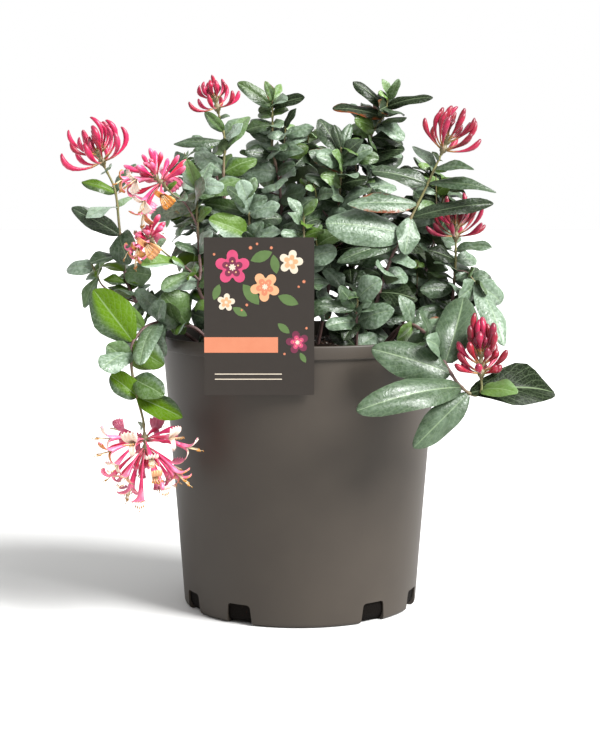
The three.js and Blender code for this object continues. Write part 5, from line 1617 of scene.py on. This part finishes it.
def makeSoilTree(materials):
    tree, add, source = newTree("pottingMix", {
        "Chip": ("NodeSocketObject", None), "Grit": ("NodeSocketObject", None),
        "Chip density": ("NodeSocketFloat", soilSize["chipDensity"]),
        "Grit density": ("NodeSocketFloat", soilSize["gritDensity"]),
        "Seed": ("NodeSocketInt", soilSize["seed"])})
    ground = source["Geometry"]
    parts = [add("GeometryNodeSetMaterial", {"Geometry": ground, "Material": materials[0]})]
    top = add(namedValue, "soilTop")
    for name, material, (least, most), offset in (("Chip", materials[1], soilSize["chips"], 0.0),
                                                  ("Grit", materials[2], soilSize["grits"], 11.0)):
        seed = add(mathNode, source["Seed"], offset, operation="ADD")
        points = add("GeometryNodeDistributePointsOnFaces", ground, top, source[name + " density"], seed)
        turns = {"Min": (-0.5, -0.5, 0.0), "Max": (0.5, 0.5, 6.28), "Seed": seed}
        sizes = {"Min": least, "Max": most, "Seed": add(mathNode, seed, 3.0, operation="ADD")}
        spin, scale = (add("FunctionNodeRandomValue", values, data_type="FLOAT_VECTOR")
                       for values in (turns, sizes))
        original = add("GeometryNodeObjectInfo", source[name], output="Geometry")
        links = {"Points": points, "Instance": original, "Rotation": spin, "Scale": scale}
        copies = add("GeometryNodeInstanceOnPoints", links)
        parts.append(add("GeometryNodeSetMaterial", {"Geometry": copies, "Material": material}))
    endTree(add, *parts)
    return tree


def makeSoil():
    size = soilSize
    foot = potSize["floor"] + size["gap"]
    edge = innerAt(size["top"]) - size["gap"]
    profile = [(0, foot), (potSize["baseRadius"] - potSize["cornerInset"] - size["gap"], foot),
               (innerAt(potSize["cornerHeight"] + 1) - size["gap"], potSize["cornerHeight"] + 1)]
    profile += [(edge * i / size["rings"], size["top"]) for i in reversed(range(size["rings"] + 1))]
    mesh = revolve("soil", profile, size["segments"], [])
    tops = []
    for vertex in mesh.vertices:
        isTop = vertex.co.z > (size["top"] - 1) * mm
        if isTop:
            vertex.co.z = soilHeight(vertex.co.x / mm, vertex.co.y / mm) * mm
        away = math.hypot(vertex.co.x, vertex.co.y) / mm
        tops.append(float(isTop and away < edge - size["bare"]))
    storeValues(mesh, "soilTop", tops)
    soil = newPiece("potting_mix", mesh)
    chip, grit = makeCrumb("chip", 0.9, 3), makeCrumb("grit", 0.5, 8)
    applyTree(soil, makeSoilTree(makeSoilMaterials()), {"Chip": chip, "Grit": grit}, ["soilTop"])
    bpy.data.objects.remove(chip)
    bpy.data.objects.remove(grit)
    finishPiece(soil, "soil", "potting_soil")
    print("soil filled")


makeSoil()


# Plant label: a laminated card with a strip hooked over the rim, printed with generic blossoms

def plateMesh(points, faces, outline, front, back):
    start, count = len(points), len(outline)
    for y in (front, back):
        points += [(x * mm, y * mm, z * mm) for x, z in outline]
    faces.append(tuple(start + i for i in range(count)))
    faces.append(tuple(start + count + i for i in reversed(range(count))))
    for i in range(count):
        j = (i + 1) % count
        faces.append((start + j, start + i, start + count + i, start + count + j))
    return count + 2


def rounded(x0, x1, z0, z1, radius):
    corners = ((x1 - radius, z0 + radius, -90), (x1 - radius, z1 - radius, 0), (x0 + radius, z1 - radius, 90),
               (x0 + radius, z0 + radius, 180))
    return [point for x, z, turn in corners for point in bendPoints(x, z, radius, turn, turn + 90, 4)]


def blossomOutline(x, z, radius, turn, petals=5):
    points = []
    for k in range(petals * 9):
        angle = 2 * math.pi * k / (petals * 9)
        reach = radius * (0.34 + 0.66 * abs(math.cos(petals * angle / 2)) ** 0.55)
        points.append((x + reach * math.cos(angle + turn), z + reach * math.sin(angle + turn)))
    return points


def leafShapeOutline(x, z, length, turn):
    side = [(t, 0.24 * math.sin(math.pi * t) ** 0.8) for t in (0, 0.15, 0.35, 0.55, 0.75, 0.9, 1)]
    loop = side + [(t, -w) for t, w in reversed(side[1:-1])]
    c, s = math.cos(turn), math.sin(turn)
    return [(x + length * (t * c - w * s), z + length * (t * s + w * c)) for t, w in loop]


labelInks = [  # name, colour and shade of each ink, in the order of the numbers below
    ("laminatedCard", "#25201c", "#221d19"), ("coralInk", "#a06046", "#a66a50"),
    ("pinkInk", "#952b4d", "#a64461"), ("creamInk", "#b3aa9b", "#a49987"), ("peachInk", "#aa7a56", "#b28a6a"),
    ("leafInk", "#3b4e29", "#4c6238"), ("plumInk", "#4d1a2c", "#5f263a"),
]
# where the print's motifs are, in millimetres from the card's lower left corner: blossoms with their radius,
# turn, petals and two inks, leaves with their length and turn, berries with their radius, and two rules
labelPrint = {
    "blossoms": [(22, 99, 13.5, 18, 5, 2, 6), (47, 84, 11.5, 50, 5, 4, 1), (67, 103, 9.5, 5, 5, 3, 4),
                 (72, 41, 9, 30, 5, 6, 2), (17, 72, 7, 10, 5, 3, 4)],
    "leaves": [(30, 86, 20, -52), (36, 104, 18, 22), (56, 94, 15, 100), (12, 86, 13, 250), (57, 77, 17, -22),
               (22, 68, 13, -30), (66, 48, 12, 140), (74, 33, 9, -60)],
    "berries": [(36, 114, 1.5), (41, 117, 1.1), (52, 114, 1.3), (8, 109, 1.1), (77, 88, 1.4), (73, 84, 1.0),
                (33, 70, 1.2), (29, 66, 0.9), (79, 52, 1.1), (62, 32, 1.0)],
    "rules": [12, 16],
}


def makeLabel():
    size = labelSize
    left, bottom, front = size["left"], size["bottom"], size["front"]
    right, top, back = left + size["width"], bottom + size["height"], front + size["thickness"]
    overRim = potSize["height"] + size["overRim"]
    stakeRight = size["stakeLeft"] + size["stakeWidth"]
    stakeBack = size["stakeFront"] + size["stakeThickness"]
    inside = front + 0.1
    points, faces, inks = [], [], []

    # each coat of ink stands a little further off the card, so that no two share a plane
    def coat(coats):
        return front - coats * size["ink"]

    def plate(outline, y0, y1, ink):
        inks.extend([ink] * plateMesh(points, faces, outline, y0, y1))

    plate(rounded(left, right, bottom, top, size["corner"]), front, back, 0)
    plate(rounded(size["stakeLeft"], stakeRight, overRim, overRim + size["stakeThickness"], 0.3), back - 0.4,
          stakeBack, 0)
    plate(rounded(size["stakeLeft"], stakeRight, size["stakeFoot"], overRim + 0.6, 0.3), size["stakeFront"],
          stakeBack, 0)
    plate(rounded(left, left + 57, bottom + 33, bottom + 45, 0.2), coat(1), inside, 1)
    for x, z, length, turn in labelPrint["leaves"]:
        plate(leafShapeOutline(left + x, bottom + z, length, math.radians(turn)), coat(1), inside, 5)
    for x, z, radius, turn, petals, outer, inner in labelPrint["blossoms"]:
        angle = math.radians(turn)
        x, z = left + x, bottom + z
        plate(blossomOutline(x, z, radius, angle, petals), coat(1.6), inside, outer)
        plate(blossomOutline(x, z, radius * 0.6, angle, petals), coat(2.1), inside, inner)
        plate(blossomOutline(x, z, radius * 0.2, angle, 7), coat(2.6), inside, 3)
        for k in range(petals):
            spot = angle + 2 * math.pi * k / petals
            dotX, dotZ = x + radius * 0.34 * math.cos(spot), z + radius * 0.34 * math.sin(spot)
            plate(blossomOutline(dotX, dotZ, radius * 0.06, 0, 4), coat(2.6), inside, 4)
    for x, z, radius in labelPrint["berries"]:
        plate(blossomOutline(left + x, bottom + z, radius, 0, 9), coat(1.6), inside, 1)
    for z in labelPrint["rules"]:
        plate(rounded(left + 8, left + 60, bottom + z, bottom + z + 0.7, 0.2), coat(1), inside, 3)
    # Printing ink on a laminated card: flat colour with a slight unevenness, under a satin film
    materials = [grainyMaterial(name, tones, (7.0, 2), None, 0.34, Specular_IOR_Level=0.24)
                 for name, *tones in labelInks]
    mesh = newMesh("label_card", points, faces, materials, smooth=False)
    mesh.polygons.foreach_set("material_index", inks)
    finishPiece(newPiece("label_card", mesh), "label_card", "plant_label")
    print("label printed")


makeLabel()


# Floor and light

lightSettings = {"world": 1.0, "key": 10.4, "softness": 30, "keyAzimuth": 58, "keyHeight": 42}


def makeStudio():
    # Painted board: an even, pale, matt skin
    board = grainyMaterial("paintedFloor", ("#c0c0bf", "#c4c4c3"), (180.0, 2), None, 0.9)
    half = 9
    mesh = newMesh("floor", [(-half, -half, 0), (half, -half, 0), (half, half, 0), (-half, half, 0)],
                   [(0, 1, 2, 3)], [board], smooth=False)
    newPiece("floor", mesh)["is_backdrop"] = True
    world = bpy.data.worlds.new("studio")
    world.use_nodes = True
    background = world.node_tree.nodes["Background"]
    background.inputs["Color"].default_value = linear("#ffffff")
    background.inputs["Strength"].default_value = lightSettings["world"]
    bpy.context.scene.world = world
    bpy.context.scene.view_settings.view_transform = "Standard"
    data = bpy.data.lights.new("key", "SUN")
    data.energy = lightSettings["key"]
    data.angle = math.radians(lightSettings["softness"])
    key = bpy.data.objects.new("key", data)
    key.rotation_euler = (math.radians(90 - lightSettings["keyHeight"]), 0,
                          math.radians(lightSettings["keyAzimuth"]))
    bpy.context.collection.objects.link(key)


makeStudio()

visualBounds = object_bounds()
boxes = {"cad": cadBounds, "visual": visualBounds}
{name: [list(corner) for corner in box] for name, box in boxes.items()}
